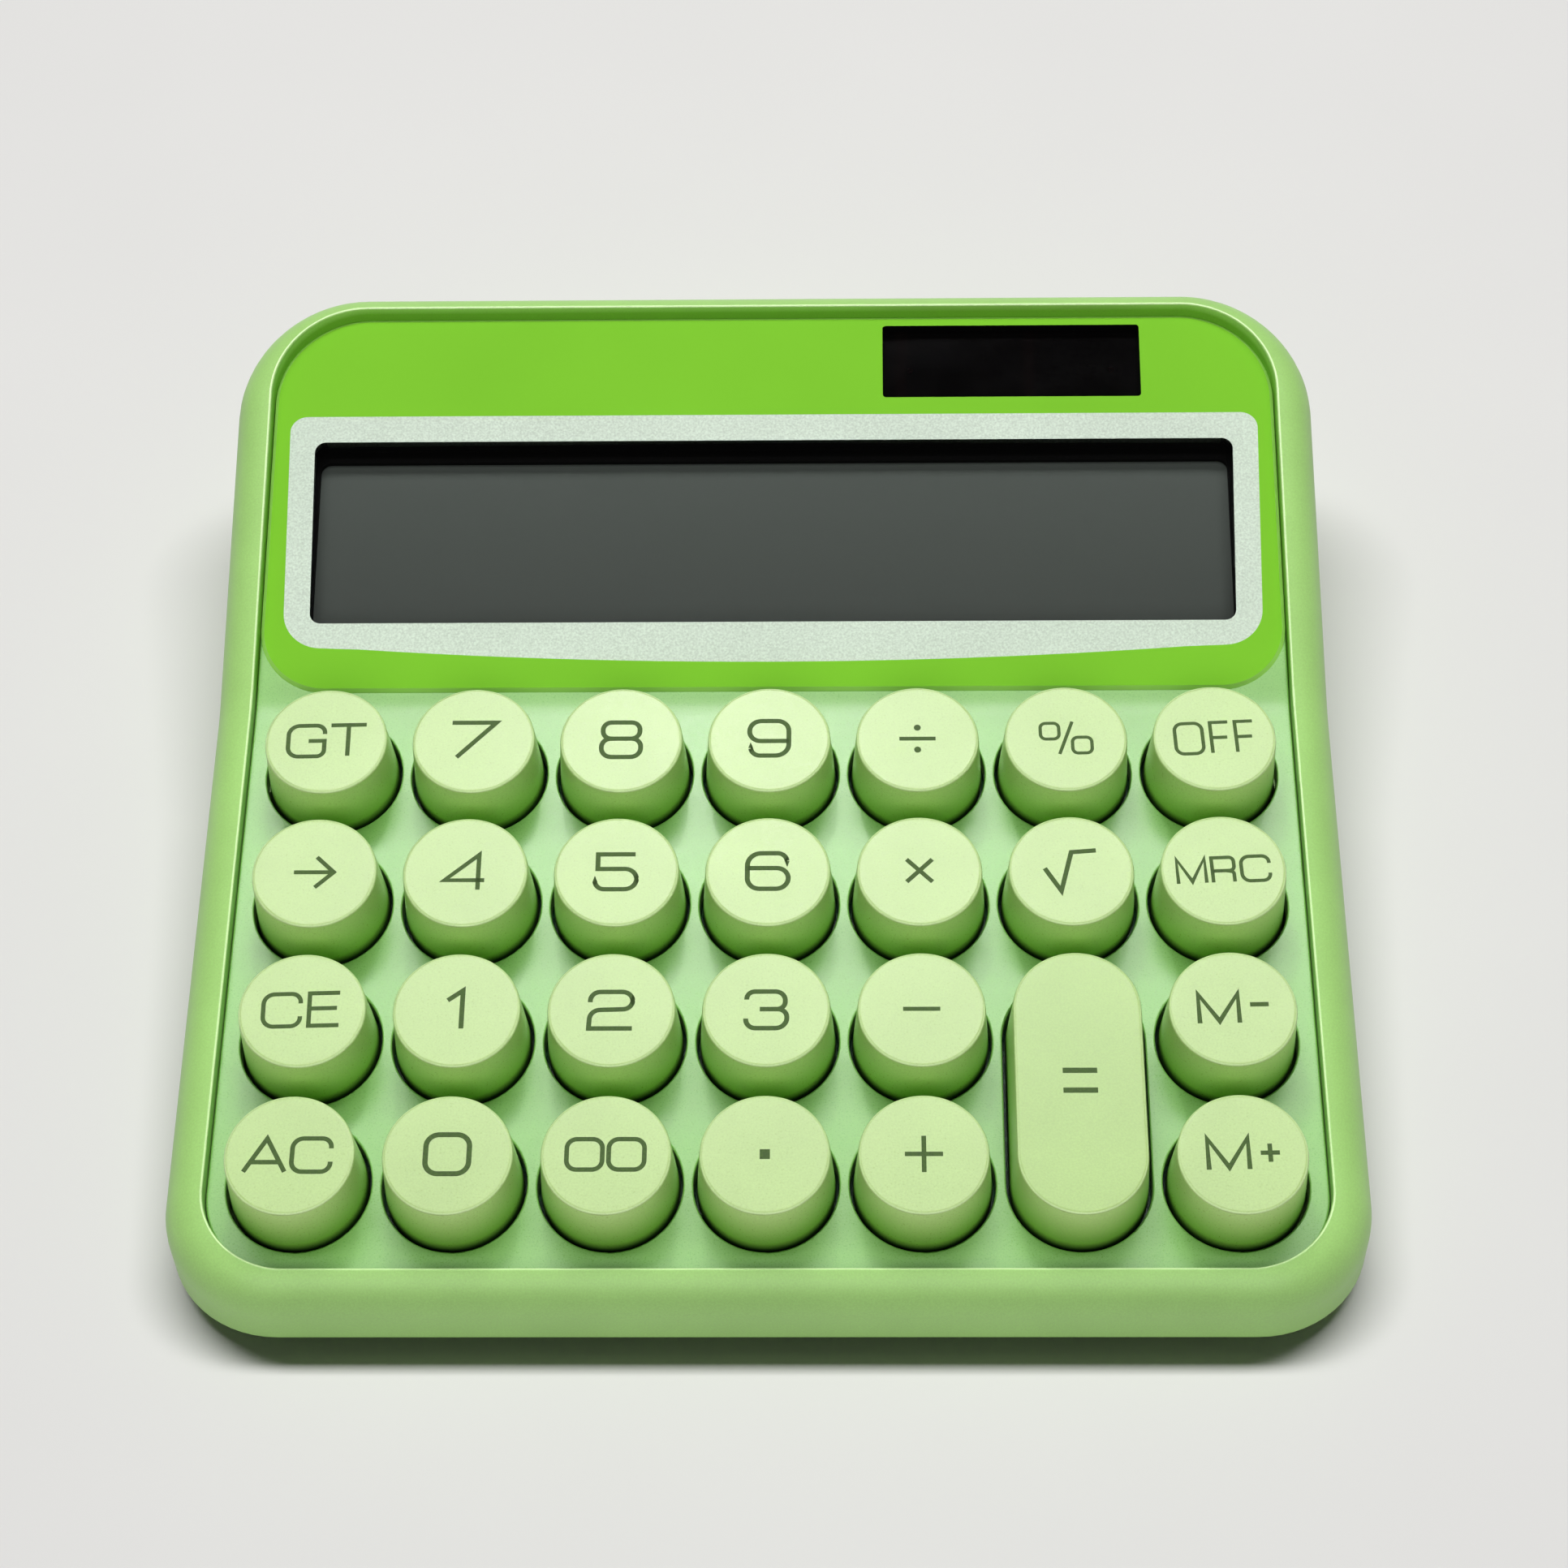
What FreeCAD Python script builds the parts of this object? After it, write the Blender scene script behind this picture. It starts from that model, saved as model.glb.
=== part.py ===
import FreeCAD, Part
import math
import os
from types import SimpleNamespace

import Sketcher
from FreeCAD import Placement, Rotation, Vector

# Desktop calculator: a wedge-shaped case with a sloped key deck, a steeper display and 27 sprung keys.
# X is across, Y runs from the front edge to the back, Z is up. The feet stand on Z = 0 and the origin
# is under the middle of the case. Lengths are millimetres, angles are degrees.

# Driving dimensions: alias, value, meaning
SIZES = (
    ("case_width", 155.0, "outer width"),
    ("case_depth", 152.4, "outer depth"),
    ("front_corner", 15.0, "plan radius of the two front corners"),
    ("rear_corner", 18.5, "plan radius of the two rear corners"),
    ("wall", 2.2, "side wall"),
    ("shoulder", 6.4, "rounding from the rim into the walls"),
    ("skirt_z", 3.0, "height of the lower edge of the walls above the table"),
    ("skirt_round", 0.8, "rounding of that lower edge"),
    ("rim_side", 5.55, "plan width of the rim at the sides"),
    ("rim_front", 4.0, "plan width of the rim at the front"),
    ("rim_rear", 4.95, "plan width of the rim at the back"),
    ("rim_rise", 2.3, "rim above the deck, before its shoulder"),
    ("rim_extra_tilt", 0.7, "how much steeper than the display the rim beside it is"),
    ("rim_edge", 0.3, "rounding of the rim's inner edge"),
    ("ledge_reach", 2.2, "how far the ledge reaches in under the face plate"),
    ("ledge_thick", 1.8, "thickness of that ledge"),
    ("deck_front_z", 12.2, "height of the deck's plane at the front wall"),
    ("deck_tilt", 6.0, "slope of the key deck"),
    ("display_extra_tilt", 10.0, "how much steeper the display is"),
    ("bend_back", 12.8, "bend of the face behind the middle of the case"),
    ("bend_radius", 20.0, "radius of that bend"),
    ("plate_thick", 3.0, "face plate"),
    ("plate_gap", 0.15, "groove between rim and face plate"),
    ("hole_edge", 0.25, "rounding of the key holes"),
    ("lens_thick", 1.7, "display lens"),
    ("lens_recess", 1.4, "depth of the lens's seat in the face plate"),
    ("lens_gap", 0.1, "gap between lens and face plate"),
    ("lens_setback", 2.1, "front edge of the lens behind the bend"),
    ("lens_corner", 9.5, "radius of the lens's front corners"),
    ("lens_bevel", 0.3, "bevel along the lens's edge"),
    ("grid_side", 7.5, "key grid from the side faces"),
    ("grid_front", 6.0, "key grid from the front face"),
    ("grid_rear", 1.0, "key grid from the bend"),
    ("key_height", 9.0, "key tops above the deck"),
    ("key_sink", 1.8, "key skirts below the deck"),
    ("key_travel", 3.0, "stroke of a key"),
    ("cap_space", 2.1, "gap between the skirts of two keys"),
    ("cap_taper", 1.4, "key's flat top narrower than its skirt"),
    ("cap_edge", 0.45, "rounding of a key's top edge"),
    ("cap_wall", 1.5, "key skirt"),
    ("cap_roof", 1.6, "key top"),
    ("hole_gap", 0.41, "gap between key skirt and deck"),
    ("boss_dia", 7.0, "socket under a key's top"),
    ("boss_length", 3.8, "length of that socket"),
    ("spigot_dia", 4.0, "end of the plunger in the socket"),
    ("spigot_gap", 0.05, "gap round the spigot"),
    ("plunger_dia", 6.0, "plunger in the switch"),
    ("stroke_spare", 0.2, "plunger above its switch's floor when pressed home"),
    ("run_gap", 0.05, "running gap of plungers and guide posts"),
    ("switch_width", 8.8, "switch housing, square"),
    ("switch_height", 6.0, "switch housing above its board"),
    ("switch_floor", 0.8, "floor of the switch's bore"),
    ("spring_dia", 4.0, "key spring, outside"),
    ("spring_wire", 0.45, "key spring's wire"),
    ("spring_seat", 4.8, "how deep the spring stands in its plunger"),
    ("spring_play", 0.2, "gap round the spring in the plunger and at its end"),
    ("guide_spread", 11.0, "guide posts of the long key, from its middle"),
    ("guide_post", 4.0, "guide post diameter"),
    ("guide_wall", 1.5, "wall of the guide bushes"),
    ("board_depth", 6.2, "top of the key board below the deck"),
    ("board_thick", 1.2, "both circuit boards"),
    ("board_side", 10.0, "key board from the side faces"),
    ("board_front_gap", 0.5, "key board short of the key grid's front edge"),
    ("board_rear_gap", 1.0, "key board short of the key grid's rear edge"),
    ("board_boss", 5.0, "bosses that carry the key board"),
    ("board_screw", 1.6, "shank of the board screws"),
    ("board_screw_head", 3.6, "head of the board screws"),
    ("screw_head_height", 1.3, "height of a board screw's head"),
    ("screw_bite", 2.0, "board screw in its boss"),
    ("screw_gap", 0.1, "gap round a screw's shank"),
    ("window_side", 12.3, "display opening from the side faces"),
    ("window_front", 11.0, "front edge of the display opening from the bend"),
    ("window_rear_gap", 27.0, "display opening from the rear face, along the display"),
    ("window_corner", 1.5, "corners of the display opening"),
    ("bed_margin", 1.6, "face plate's opening round the display opening"),
    ("bed_rear_margin", 4.0, "the same along the rear edge"),
    ("holder_lip", 0.8, "front lip of the display holder"),
    ("holder_border", 4.0, "display holder round the display opening"),
    ("holder_rear_border", 7.2, "the same along the rear edge"),
    ("holder_wall", 2.0, "side wall of the display holder"),
    ("holder_fit", 0.2, "gap round the display glass"),
    ("lcd_thick", 2.2, "display glass"),
    ("strip_width", 2.5, "elastomer connector"),
    ("strip_height", 1.6, "elastomer connector, pressed"),
    ("strip_margin", 6.0, "connector shorter than the glass at each end"),
    ("ear_dia", 6.0, "screw ears of the display holder"),
    ("ear_side", 17.5, "screw ears from the side faces"),
    ("solar_side", 24.6, "solar cell's window from the right side face"),
    ("solar_width", 37.1, "width of the solar cell's window"),
    ("solar_depth", 11.6, "depth of the solar cell's window"),
    ("solar_rear_gap", 6.9, "solar cell's window from the rear face, along the display"),
    ("solar_margin", 0.4, "solar cell past its window"),
    ("solar_thick", 1.1, "solar cell"),
    ("solar_fit", 0.2, "gap round the solar cell"),
    ("lead_dia", 0.9, "wires"),
    ("lead_inset", 4.0, "solar leads from the ends of the cell"),
    ("display_board_gap", 8.7, "display board from the rear face, along the display"),
    ("chip_dia", 14.0, "epoxy drop over the controller"),
    ("chip_height", 1.8, "height of the epoxy drop"),
    ("chip_x", -22.0, "controller from the middle"),
    ("chip_setback", 24.0, "controller behind the bend"),
    ("cap_can_dia", 5.0, "capacitor"),
    ("cap_can_height", 6.0, "capacitor above its board"),
    ("cap_can_x", 6.0, "capacitor from the middle"),
    ("ribbon_width", 30.0, "flat cable between the boards"),
    ("ribbon_thick", 0.3, "flat cable"),
    ("ribbon_lap", 5.0, "flat cable on each board"),
    ("ribbon_sag", 2.0, "sag of the flat cable between the boards"),
    ("floor_z", 2.0, "underside of the bottom cover"),
    ("floor_thick", 2.2, "bottom cover"),
    ("floor_gap", 0.25, "gap between bottom cover and walls"),
    ("post_dia", 6.4, "screw bosses of the top cover"),
    ("post_inset", 5.1, "screw bosses from the side faces"),
    ("post_front", 24.2, "front screws from the front wall"),
    ("post_rear", 20.2, "rear screws from the rear wall"),
    ("tube_dia", 7.2, "screw tubes of the bottom cover"),
    ("tube_top", 6.8, "height of the screw tubes' ends"),
    ("tube_seat", 5.0, "height where a screw's head seats"),
    ("screw_head_dia", 5.0, "head of a case screw"),
    ("screw_head_thick", 1.8, "height of a case screw's head"),
    ("screw_shank", 2.2, "shank of a case screw"),
    ("screw_top", 9.3, "height of a case screw's end"),
    ("head_gap", 0.3, "gap round a case screw's head"),
    ("foot_dia", 11.0, "rubber feet"),
    ("foot_seat", 0.6, "depth of the feet's seats"),
    ("foot_side", 24.5, "feet from the side faces"),
    ("foot_inset", 10.7, "feet from the front and rear walls"),
    ("cell_dia", 10.5, "battery cell"),
    ("cell_length", 43.5, "battery cell without its nub"),
    ("nub_dia", 3.8, "positive nub"),
    ("nub_length", 1.0, "positive nub"),
    ("cell_inset", 18.2, "cell's axis from the rear wall"),
    ("cell_play", 0.7, "room round the cell"),
    ("leaf_reach", 5.5, "battery spring's bent leaf, pressed"),
    ("leaf_tilt", 25.0, "slope of the leaf's two sides"),
    ("leaf_flat", 2.4, "flat of the leaf that meets the cell"),
    ("leaf_thick", 0.5, "battery spring's leaf"),
    ("leaf_width", 6.0, "battery spring's leaf"),
    ("contact_thick", 0.5, "contact plates"),
    ("contact_width", 8.0, "contact plates"),
    ("contact_tab", 2.0, "solder tab above the battery box"),
    ("box_wall", 1.5, "battery box"),
    ("rail_wall", 3.2, "bottom cover beside the door's rails"),
    ("door_half", 29.0, "half the door's width"),
    ("door_thick", 2.0, "battery door"),
    ("door_length", 30.2, "battery door, front edge to the rear face of the case"),
    ("door_gap", 0.3, "running gap round the door"),
    ("tongue_reach", 1.5, "door's tongues"),
    ("tongue_thick", 0.5, "door's tongues"),
    ("tongue_rise", 1.0, "door's tongues above its underside"),
    ("grip_count", 4, "finger ridges on the door"),
    ("grip_width", 22.0, "finger ridges"),
    ("grip_pitch", 2.4, "spacing of the finger ridges"),
    ("grip_depth", 0.6, "depth of the grooves between the ridges"),
)

KEY_ROWS = (
    ("key_gt", "key_7", "key_8", "key_9", "key_divide", "key_percent", "key_off"),
    ("key_backspace", "key_4", "key_5", "key_6", "key_multiply", "key_root", "key_mrc"),
    ("key_ce", "key_1", "key_2", "key_3", "key_minus", None, "key_m_minus"),
    ("key_ac", "key_0", "key_00", "key_point", "key_plus", None, "key_m_plus"),
)
LONG_KEY = "key_equals"
COLUMNS = len(KEY_ROWS[0])
ROWS = len(KEY_ROWS)
MIDDLE_COLUMN = (COLUMNS - 1) / 2
MIDDLE_ROW = (ROWS - 1) / 2
# The long key stands in the empty places of the last two rows
LONG_KEY_COLUMN = KEY_ROWS[-1].index(None)
LONG_KEY_ROW = ROWS - 1.5

# Screws of the key board, in pitches from the middle of the key grid
BOARD_SCREW_SPOTS = ((-2.5, 1), (-0.5, 1), (2.5, 1), (-2.5, -1), (-0.5, -1), (2.5, 0))

# Reach of the solids that only trim others, past the case
SPARE = 10.0
# Overlap of solids that are joined into one piece
WELD = 0.4

doc = FreeCAD.newDocument("calculator")
sheet = doc.addObject("Spreadsheet::Sheet", "sizes")
nodes = []


class Dim:
    """A size that knows its value and its expression on the sheet."""

    def __init__(self, text, value):
        self.text = text
        self.value = value

    def __add__(self, other):
        return Dim("(%s + %s)" % (self.text, text_of(other)), self.value + value_of(other))

    def __radd__(self, other):
        return self + other

    def __sub__(self, other):
        return Dim("(%s - %s)" % (self.text, text_of(other)), self.value - value_of(other))

    def __rsub__(self, other):
        return -self + other

    def __mul__(self, other):
        return Dim("(%s * %s)" % (self.text, text_of(other)), self.value * value_of(other))

    def __rmul__(self, other):
        return self * other

    def __truediv__(self, other):
        return Dim("(%s / %s)" % (self.text, text_of(other)), self.value / value_of(other))

    def __neg__(self):
        return Dim("(-1 * %s)" % self.text, -self.value)


def text_of(amount):
    return amount.text if isinstance(amount, Dim) else "%.6f" % amount


def value_of(amount):
    return amount.value if isinstance(amount, Dim) else float(amount)


def sine(angle):
    return Dim("sin(%s * 1 deg)" % angle.text, math.sin(math.radians(angle.value)))


def cosine(angle):
    return Dim("cos(%s * 1 deg)" % angle.text, math.cos(math.radians(angle.value)))


def tangent(angle):
    return Dim("tan(%s * 1 deg)" % angle.text, math.tan(math.radians(angle.value)))


def least(one, other):
    return Dim("min(%s; %s)" % (one.text, other.text), min(one.value, other.value))


def fill_sheet():
    dims = {}
    for row, (alias, number, meaning) in enumerate(SIZES, start=1):
        sheet.set("A%d" % row, alias)
        sheet.set("B%d" % row, str(number))
        sheet.setAlias("B%d" % row, alias)
        sheet.set("C%d" % row, meaning)
        dims[alias] = Dim("sizes." + alias, float(number))
    doc.recompute()
    return SimpleNamespace(**dims)


size = fill_sheet()


# Places and frames

front_y = -size.case_depth / 2
rear_y = size.case_depth / 2
half_width = size.case_width / 2
display_tilt = size.deck_tilt + size.display_extra_tilt
pitch_x = (size.case_width - 2 * size.grid_side) / COLUMNS
pitch_y = (size.case_depth / 2 + size.bend_back - size.grid_front - size.grid_rear) / ROWS
grid_setback = pitch_y * (ROWS / 2) + size.grid_front
bend_setback = pitch_y * (ROWS / 2) + size.grid_rear
grid_y = front_y + grid_setback
grid_z = size.deck_front_z + grid_setback * tangent(size.deck_tilt)
bend_y = grid_y + bend_setback * cosine(size.deck_tilt)
bend_z = grid_z + bend_setback * sine(size.deck_tilt)

# A frame is the place of its origin and its slope. In the deck's frame the origin is the middle of the
# key grid on the deck's surface, in the display's frame it is the middle of the bend.
case_frame = SimpleNamespace(y=0.0, z=0.0, tilt=None)
deck_frame = SimpleNamespace(y=grid_y, z=grid_z, tilt=size.deck_tilt)
display_frame = SimpleNamespace(y=bend_y, z=bend_z, tilt=display_tilt)

display_length = (rear_y - bend_y) / cosine(display_tilt)
window_half = half_width - size.window_side
window_rear = display_length - size.window_rear_gap
ear_half = half_width - size.ear_side
solar_right = half_width - size.solar_side
solar_left = solar_right - size.solar_width
solar_rear = display_length - size.solar_rear_gap
solar_front = solar_rear - size.solar_depth
display_board_rear = display_length - size.display_board_gap
board_half = half_width - size.board_side
board_front = pitch_y * (ROWS / 2) - size.board_front_gap
board_rear = pitch_y * (ROWS / 2) - size.board_rear_gap
foot_half = half_width - size.foot_side
cap_base = least(pitch_x, pitch_y) - size.cap_space
cap_top = cap_base - size.cap_taper
cap_under = size.key_height - size.cap_roof
boss_end = cap_under - size.boss_length
board_top = -size.board_depth
board_under = board_top - size.board_thick
switch_top = board_top + size.switch_height
spring_foot = board_top + size.switch_floor
plunger_end = spring_foot + size.key_travel + size.stroke_spare
bed_under = -size.plate_thick
lcd_face = bed_under - size.holder_lip
lcd_back = lcd_face - size.lcd_thick
display_board_top = lcd_back - size.strip_height
display_board_under = display_board_top - size.board_thick
floor_top = size.floor_z + size.floor_thick
post_x = half_width - size.post_inset
post_rows = (front_y + size.post_front, (size.post_front - size.post_rear) / 2, rear_y - size.post_rear)
ear_front = size.window_front - size.holder_border - size.ear_dia / 2 + WELD * 2
ear_rear = window_rear + size.holder_rear_border + size.ear_dia / 2 - WELD * 2
ear_spots = [(side * ear_half, row) for side in (-1, 1) for row in (ear_front, ear_rear)]
foot_spots = [(side * foot_half, row) for side in (-1, 1)
              for row in (front_y + size.foot_inset, rear_y - size.foot_inset)]
screw_spots = [(side * post_x, row) for side in (-1, 1) for row in post_rows]
board_spots = [(column * pitch_x, row * pitch_y) for column, row in BOARD_SCREW_SPOTS]
long_key_x = (LONG_KEY_COLUMN - MIDDLE_COLUMN) * pitch_x
long_key_y = (MIDDLE_ROW - LONG_KEY_ROW) * pitch_y
guide_spots = [(long_key_x, long_key_y + side * size.guide_spread) for side in (-1, 1)]


def key_spots():
    spots = {}
    for row, names in enumerate(KEY_ROWS):
        for column, name in enumerate(names):
            if name:
                spots[name] = ((column - MIDDLE_COLUMN) * pitch_x, (MIDDLE_ROW - row) * pitch_y)
    return spots


round_keys = key_spots()
switch_spots = list(round_keys.values()) + [(long_key_x, long_key_y)]


# Helpers that make document objects

def bind(thing, prop, amount):
    thing.setExpression(prop, text_of(amount))


def place(thing, frame, x=0.0, y=0.0, z=0.0):
    """Put an object at x, y, z of a frame."""
    if frame.tilt is None:
        bind(thing, "Placement.Base.x", x)
        bind(thing, "Placement.Base.y", y)
        bind(thing, "Placement.Base.z", z)
        return
    lean, rise = cosine(frame.tilt), sine(frame.tilt)
    thing.Placement = Placement(Vector(), Rotation(Vector(1, 0, 0), frame.tilt.value))
    bind(thing, "Placement.Rotation.Angle", frame.tilt)
    bind(thing, "Placement.Base.x", x)
    bind(thing, "Placement.Base.y", frame.y + y * lean - z * rise)
    bind(thing, "Placement.Base.z", frame.z + y * rise + z * lean)


def spot(frame, x, y, z):
    """The placement of x, y, z of a frame, for copies."""
    tilt = frame.tilt.value
    base = Placement(Vector(0, frame.y.value, frame.z.value), Rotation(Vector(1, 0, 0), tilt))
    return base.multiply(Placement(Vector(value_of(x), value_of(y), value_of(z)), Rotation()))


def box(name, frame, x, y, z):
    """A box from the low to the high end of each of x, y and z."""
    thing = doc.addObject("Part::Box", name)
    for prop, (low, high) in zip(("Length", "Width", "Height"), (x, y, z)):
        bind(thing, prop, high - low)
    place(thing, frame, x[0], y[0], z[0])
    return thing


def rod(name, frame, diameter, x, y, z):
    """A cylinder along the frame's Z, from the low to the high end of z."""
    thing = doc.addObject("Part::Cylinder", name)
    bind(thing, "Radius", diameter / 2)
    bind(thing, "Height", z[1] - z[0])
    place(thing, frame, x, y, z[0])
    return thing


def fuse(name, *things):
    thing = doc.addObject("Part::MultiFuse", name)
    thing.Shapes = list(things)
    thing.Refine = True
    return thing


def common(name, *things):
    thing = doc.addObject("Part::MultiCommon", name)
    thing.Shapes = list(things)
    return thing


def cut(name, base, *tools):
    thing = doc.addObject("Part::Cut", name)
    thing.Base = base
    thing.Tool = tools[0] if len(tools) == 1 else fuse(name + "_tools", *tools)
    return thing


def node(label, thing):
    """Name a finished piece."""
    thing.Label = label
    nodes.append(thing)
    return thing


def cluster(label, pattern, placements):
    """A node of separate copies of one piece."""
    thing = doc.addObject("Part::Feature", label)
    copies = []
    for placement in placements:
        solid = pattern.Shape.copy()
        solid.Placement = placement.multiply(solid.Placement)
        copies.append(solid)
    thing.Shape = Part.makeCompound(copies)
    return node(label, thing)


def extrude(name, sketch, low, high):
    """A prism on a sketch, from low to high along its normal."""
    thing = doc.addObject("Part::Extrusion", name)
    thing.Base = sketch
    thing.DirMode = "Normal"
    thing.Solid = True
    bind(thing, "LengthFwd", high)
    bind(thing, "LengthRev", -1.0 * low)
    return thing


def edges_between(shape, one, other):
    """Numbers of the edges where a face that passes one test meets a face that passes the other."""
    found = []
    for number, edge in enumerate(shape.Edges, start=1):
        faces = shape.ancestorsOfType(edge, Part.Face)
        if len(faces) != 2:
            continue
        first, second = faces
        if (one(first) and other(second)) or (one(second) and other(first)):
            found.append(number)
    return found


def fillet(name, base, *rounds):
    """Round edges of a base, each round being a list of edge numbers and a radius."""
    thing = doc.addObject("Part::Fillet", name)
    thing.Base = base
    thing.Edges = [(number, radius.value, radius.value) for numbers, radius in rounds for number in numbers]
    return thing


def normal_of(face):
    u_low, u_high, v_low, v_high = face.ParameterRange
    return face.normalAt((u_low + u_high) / 2, (v_low + v_high) / 2)


def faces_up(face):
    return normal_of(face).z > 0.5


def faces_down(face):
    return normal_of(face).z < -0.9


def stands(face):
    return abs(normal_of(face).z) < 0.01


def leans(face):
    return abs(normal_of(face).z) < 0.5


# Helpers that draw in sketches

ORIGIN = (-1, 1)
VERTICAL_AXIS = ORIGIN[0] - 1
START, END, CENTRE = range(1, 4)


def new_sketch(name):
    return doc.addObject("Sketcher::SketchObject", name)


def constrain(sketch, amount, kind, *where):
    """Add a dimension to a sketch and bind it to the sheet."""
    start = math.radians(value_of(amount)) if kind == "Angle" else value_of(amount)
    number = sketch.addConstraint(Sketcher.Constraint(kind, *where, start))
    if isinstance(amount, Dim):
        degrees = " * 1 deg" if kind == "Angle" else ""
        sketch.setExpression("Constraints[%d]" % number, amount.text + degrees)


def relate(sketch, kind, *where):
    sketch.addConstraint(Sketcher.Constraint(kind, *where))


def pin(sketch, geometry, position, x, y):
    """Hold a point of the geometry at x, y."""
    constrain(sketch, x, "DistanceX", *ORIGIN, geometry, position)
    constrain(sketch, y, "DistanceY", *ORIGIN, geometry, position)


def draw_circle(sketch, diameter, x=0.0, y=0.0):
    centre = Vector(value_of(x), value_of(y), 0)
    ring = sketch.addGeometry(Part.Circle(centre, Vector(0, 0, 1), value_of(diameter) / 2))
    pin(sketch, ring, CENTRE, x, y)
    constrain(sketch, diameter, "Diameter", ring)


def draw_polygon(sketch, points):
    """A closed outline with straight sides through the points."""
    ends = [Vector(value_of(x), value_of(y), 0) for x, y in points]
    count = len(points)
    for index in range(count):
        sketch.addGeometry(Part.LineSegment(ends[index], ends[(index + 1) % count]))
    for index in range(count):
        relate(sketch, "Coincident", index, END, (index + 1) % count, START)
    for index, (x, y) in enumerate(points):
        if isinstance(x, Dim):
            constrain(sketch, x, "DistanceX", *ORIGIN, index, START)
        else:
            relate(sketch, "PointOnObject", index, START, VERTICAL_AXIS)
        constrain(sketch, y, "DistanceY", *ORIGIN, index, START)


def draw_rounded_box(sketch, left, right, front, rear, front_radius, rear_radius):
    """A rectangle with round corners, drawn against the clock from the front side."""
    x0, x1, y0, y1 = value_of(left), value_of(right), value_of(front), value_of(rear)
    rf, rr = value_of(front_radius), value_of(rear_radius)
    up = Vector(0, 0, 1)
    quarter = math.pi / 2
    lines = ((x0 + rf, y0, x1 - rf, y0), (x1, y0 + rf, x1, y1 - rr),
             (x1 - rr, y1, x0 + rr, y1), (x0, y1 - rr, x0, y0 + rf))
    corners = ((x1 - rf, y0 + rf, rf, -quarter), (x1 - rr, y1 - rr, rr, 0.0),
               (x0 + rr, y1 - rr, rr, quarter), (x0 + rf, y0 + rf, rf, 2 * quarter))
    first = sketch.GeometryCount
    for (ax, ay, bx, by), (cx, cy, radius, turn) in zip(lines, corners):
        sketch.addGeometry(Part.LineSegment(Vector(ax, ay, 0), Vector(bx, by, 0)))
        ring = Part.Circle(Vector(cx, cy, 0), up, radius)
        sketch.addGeometry(Part.ArcOfCircle(ring, turn, turn + quarter))
    for side in range(4):
        line, arc, following = first + 2 * side, first + 2 * side + 1, first + (2 * side + 2) % 8
        relate(sketch, "Tangent", line, END, arc, START)
        relate(sketch, "Tangent", arc, END, following, START)
        relate(sketch, "Vertical" if side % 2 else "Horizontal", line)
        constrain(sketch, front_radius if side in (0, 3) else rear_radius, "Radius", arc)
    constrain(sketch, front, "DistanceY", *ORIGIN, first, START)
    constrain(sketch, right, "DistanceX", *ORIGIN, first + 2, START)
    constrain(sketch, rear, "DistanceY", *ORIGIN, first + 4, START)
    constrain(sketch, left, "DistanceX", *ORIGIN, first + 6, START)


def draw_slot(sketch, radius, length, x, y):
    """A slot along Y with round ends, its end centres a length apart."""
    r, half = value_of(radius), value_of(length) / 2
    cx, cy = value_of(x), value_of(y)
    up = Vector(0, 0, 1)
    first = sketch.GeometryCount
    rear = Part.Circle(Vector(cx, cy + half, 0), up, r)
    front = Part.Circle(Vector(cx, cy - half, 0), up, r)
    sketch.addGeometry(Part.LineSegment(Vector(cx + r, cy - half, 0), Vector(cx + r, cy + half, 0)))
    sketch.addGeometry(Part.ArcOfCircle(rear, 0.0, math.pi))
    sketch.addGeometry(Part.LineSegment(Vector(cx - r, cy + half, 0), Vector(cx - r, cy - half, 0)))
    sketch.addGeometry(Part.ArcOfCircle(front, math.pi, 2 * math.pi))
    for side in range(4):
        relate(sketch, "Tangent", first + side, END, first + (side + 1) % 4, START)
    constrain(sketch, radius, "Radius", first + 1)
    pin(sketch, first + 1, CENTRE, x, y + length / 2)
    pin(sketch, first + 3, CENTRE, x, y - length / 2)


def plan_prism(name, inset, low, high):
    """An upright prism on the case's plan outline, drawn in by an inset on each of side, front and rear."""
    side, front, rear = inset
    sketch = new_sketch(name + "_outline")
    draw_rounded_box(sketch, side - half_width, half_width - side, front_y + front, rear_y - rear,
                     size.front_corner - front, size.rear_corner - rear)
    return extrude(name, sketch, low, high)


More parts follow.
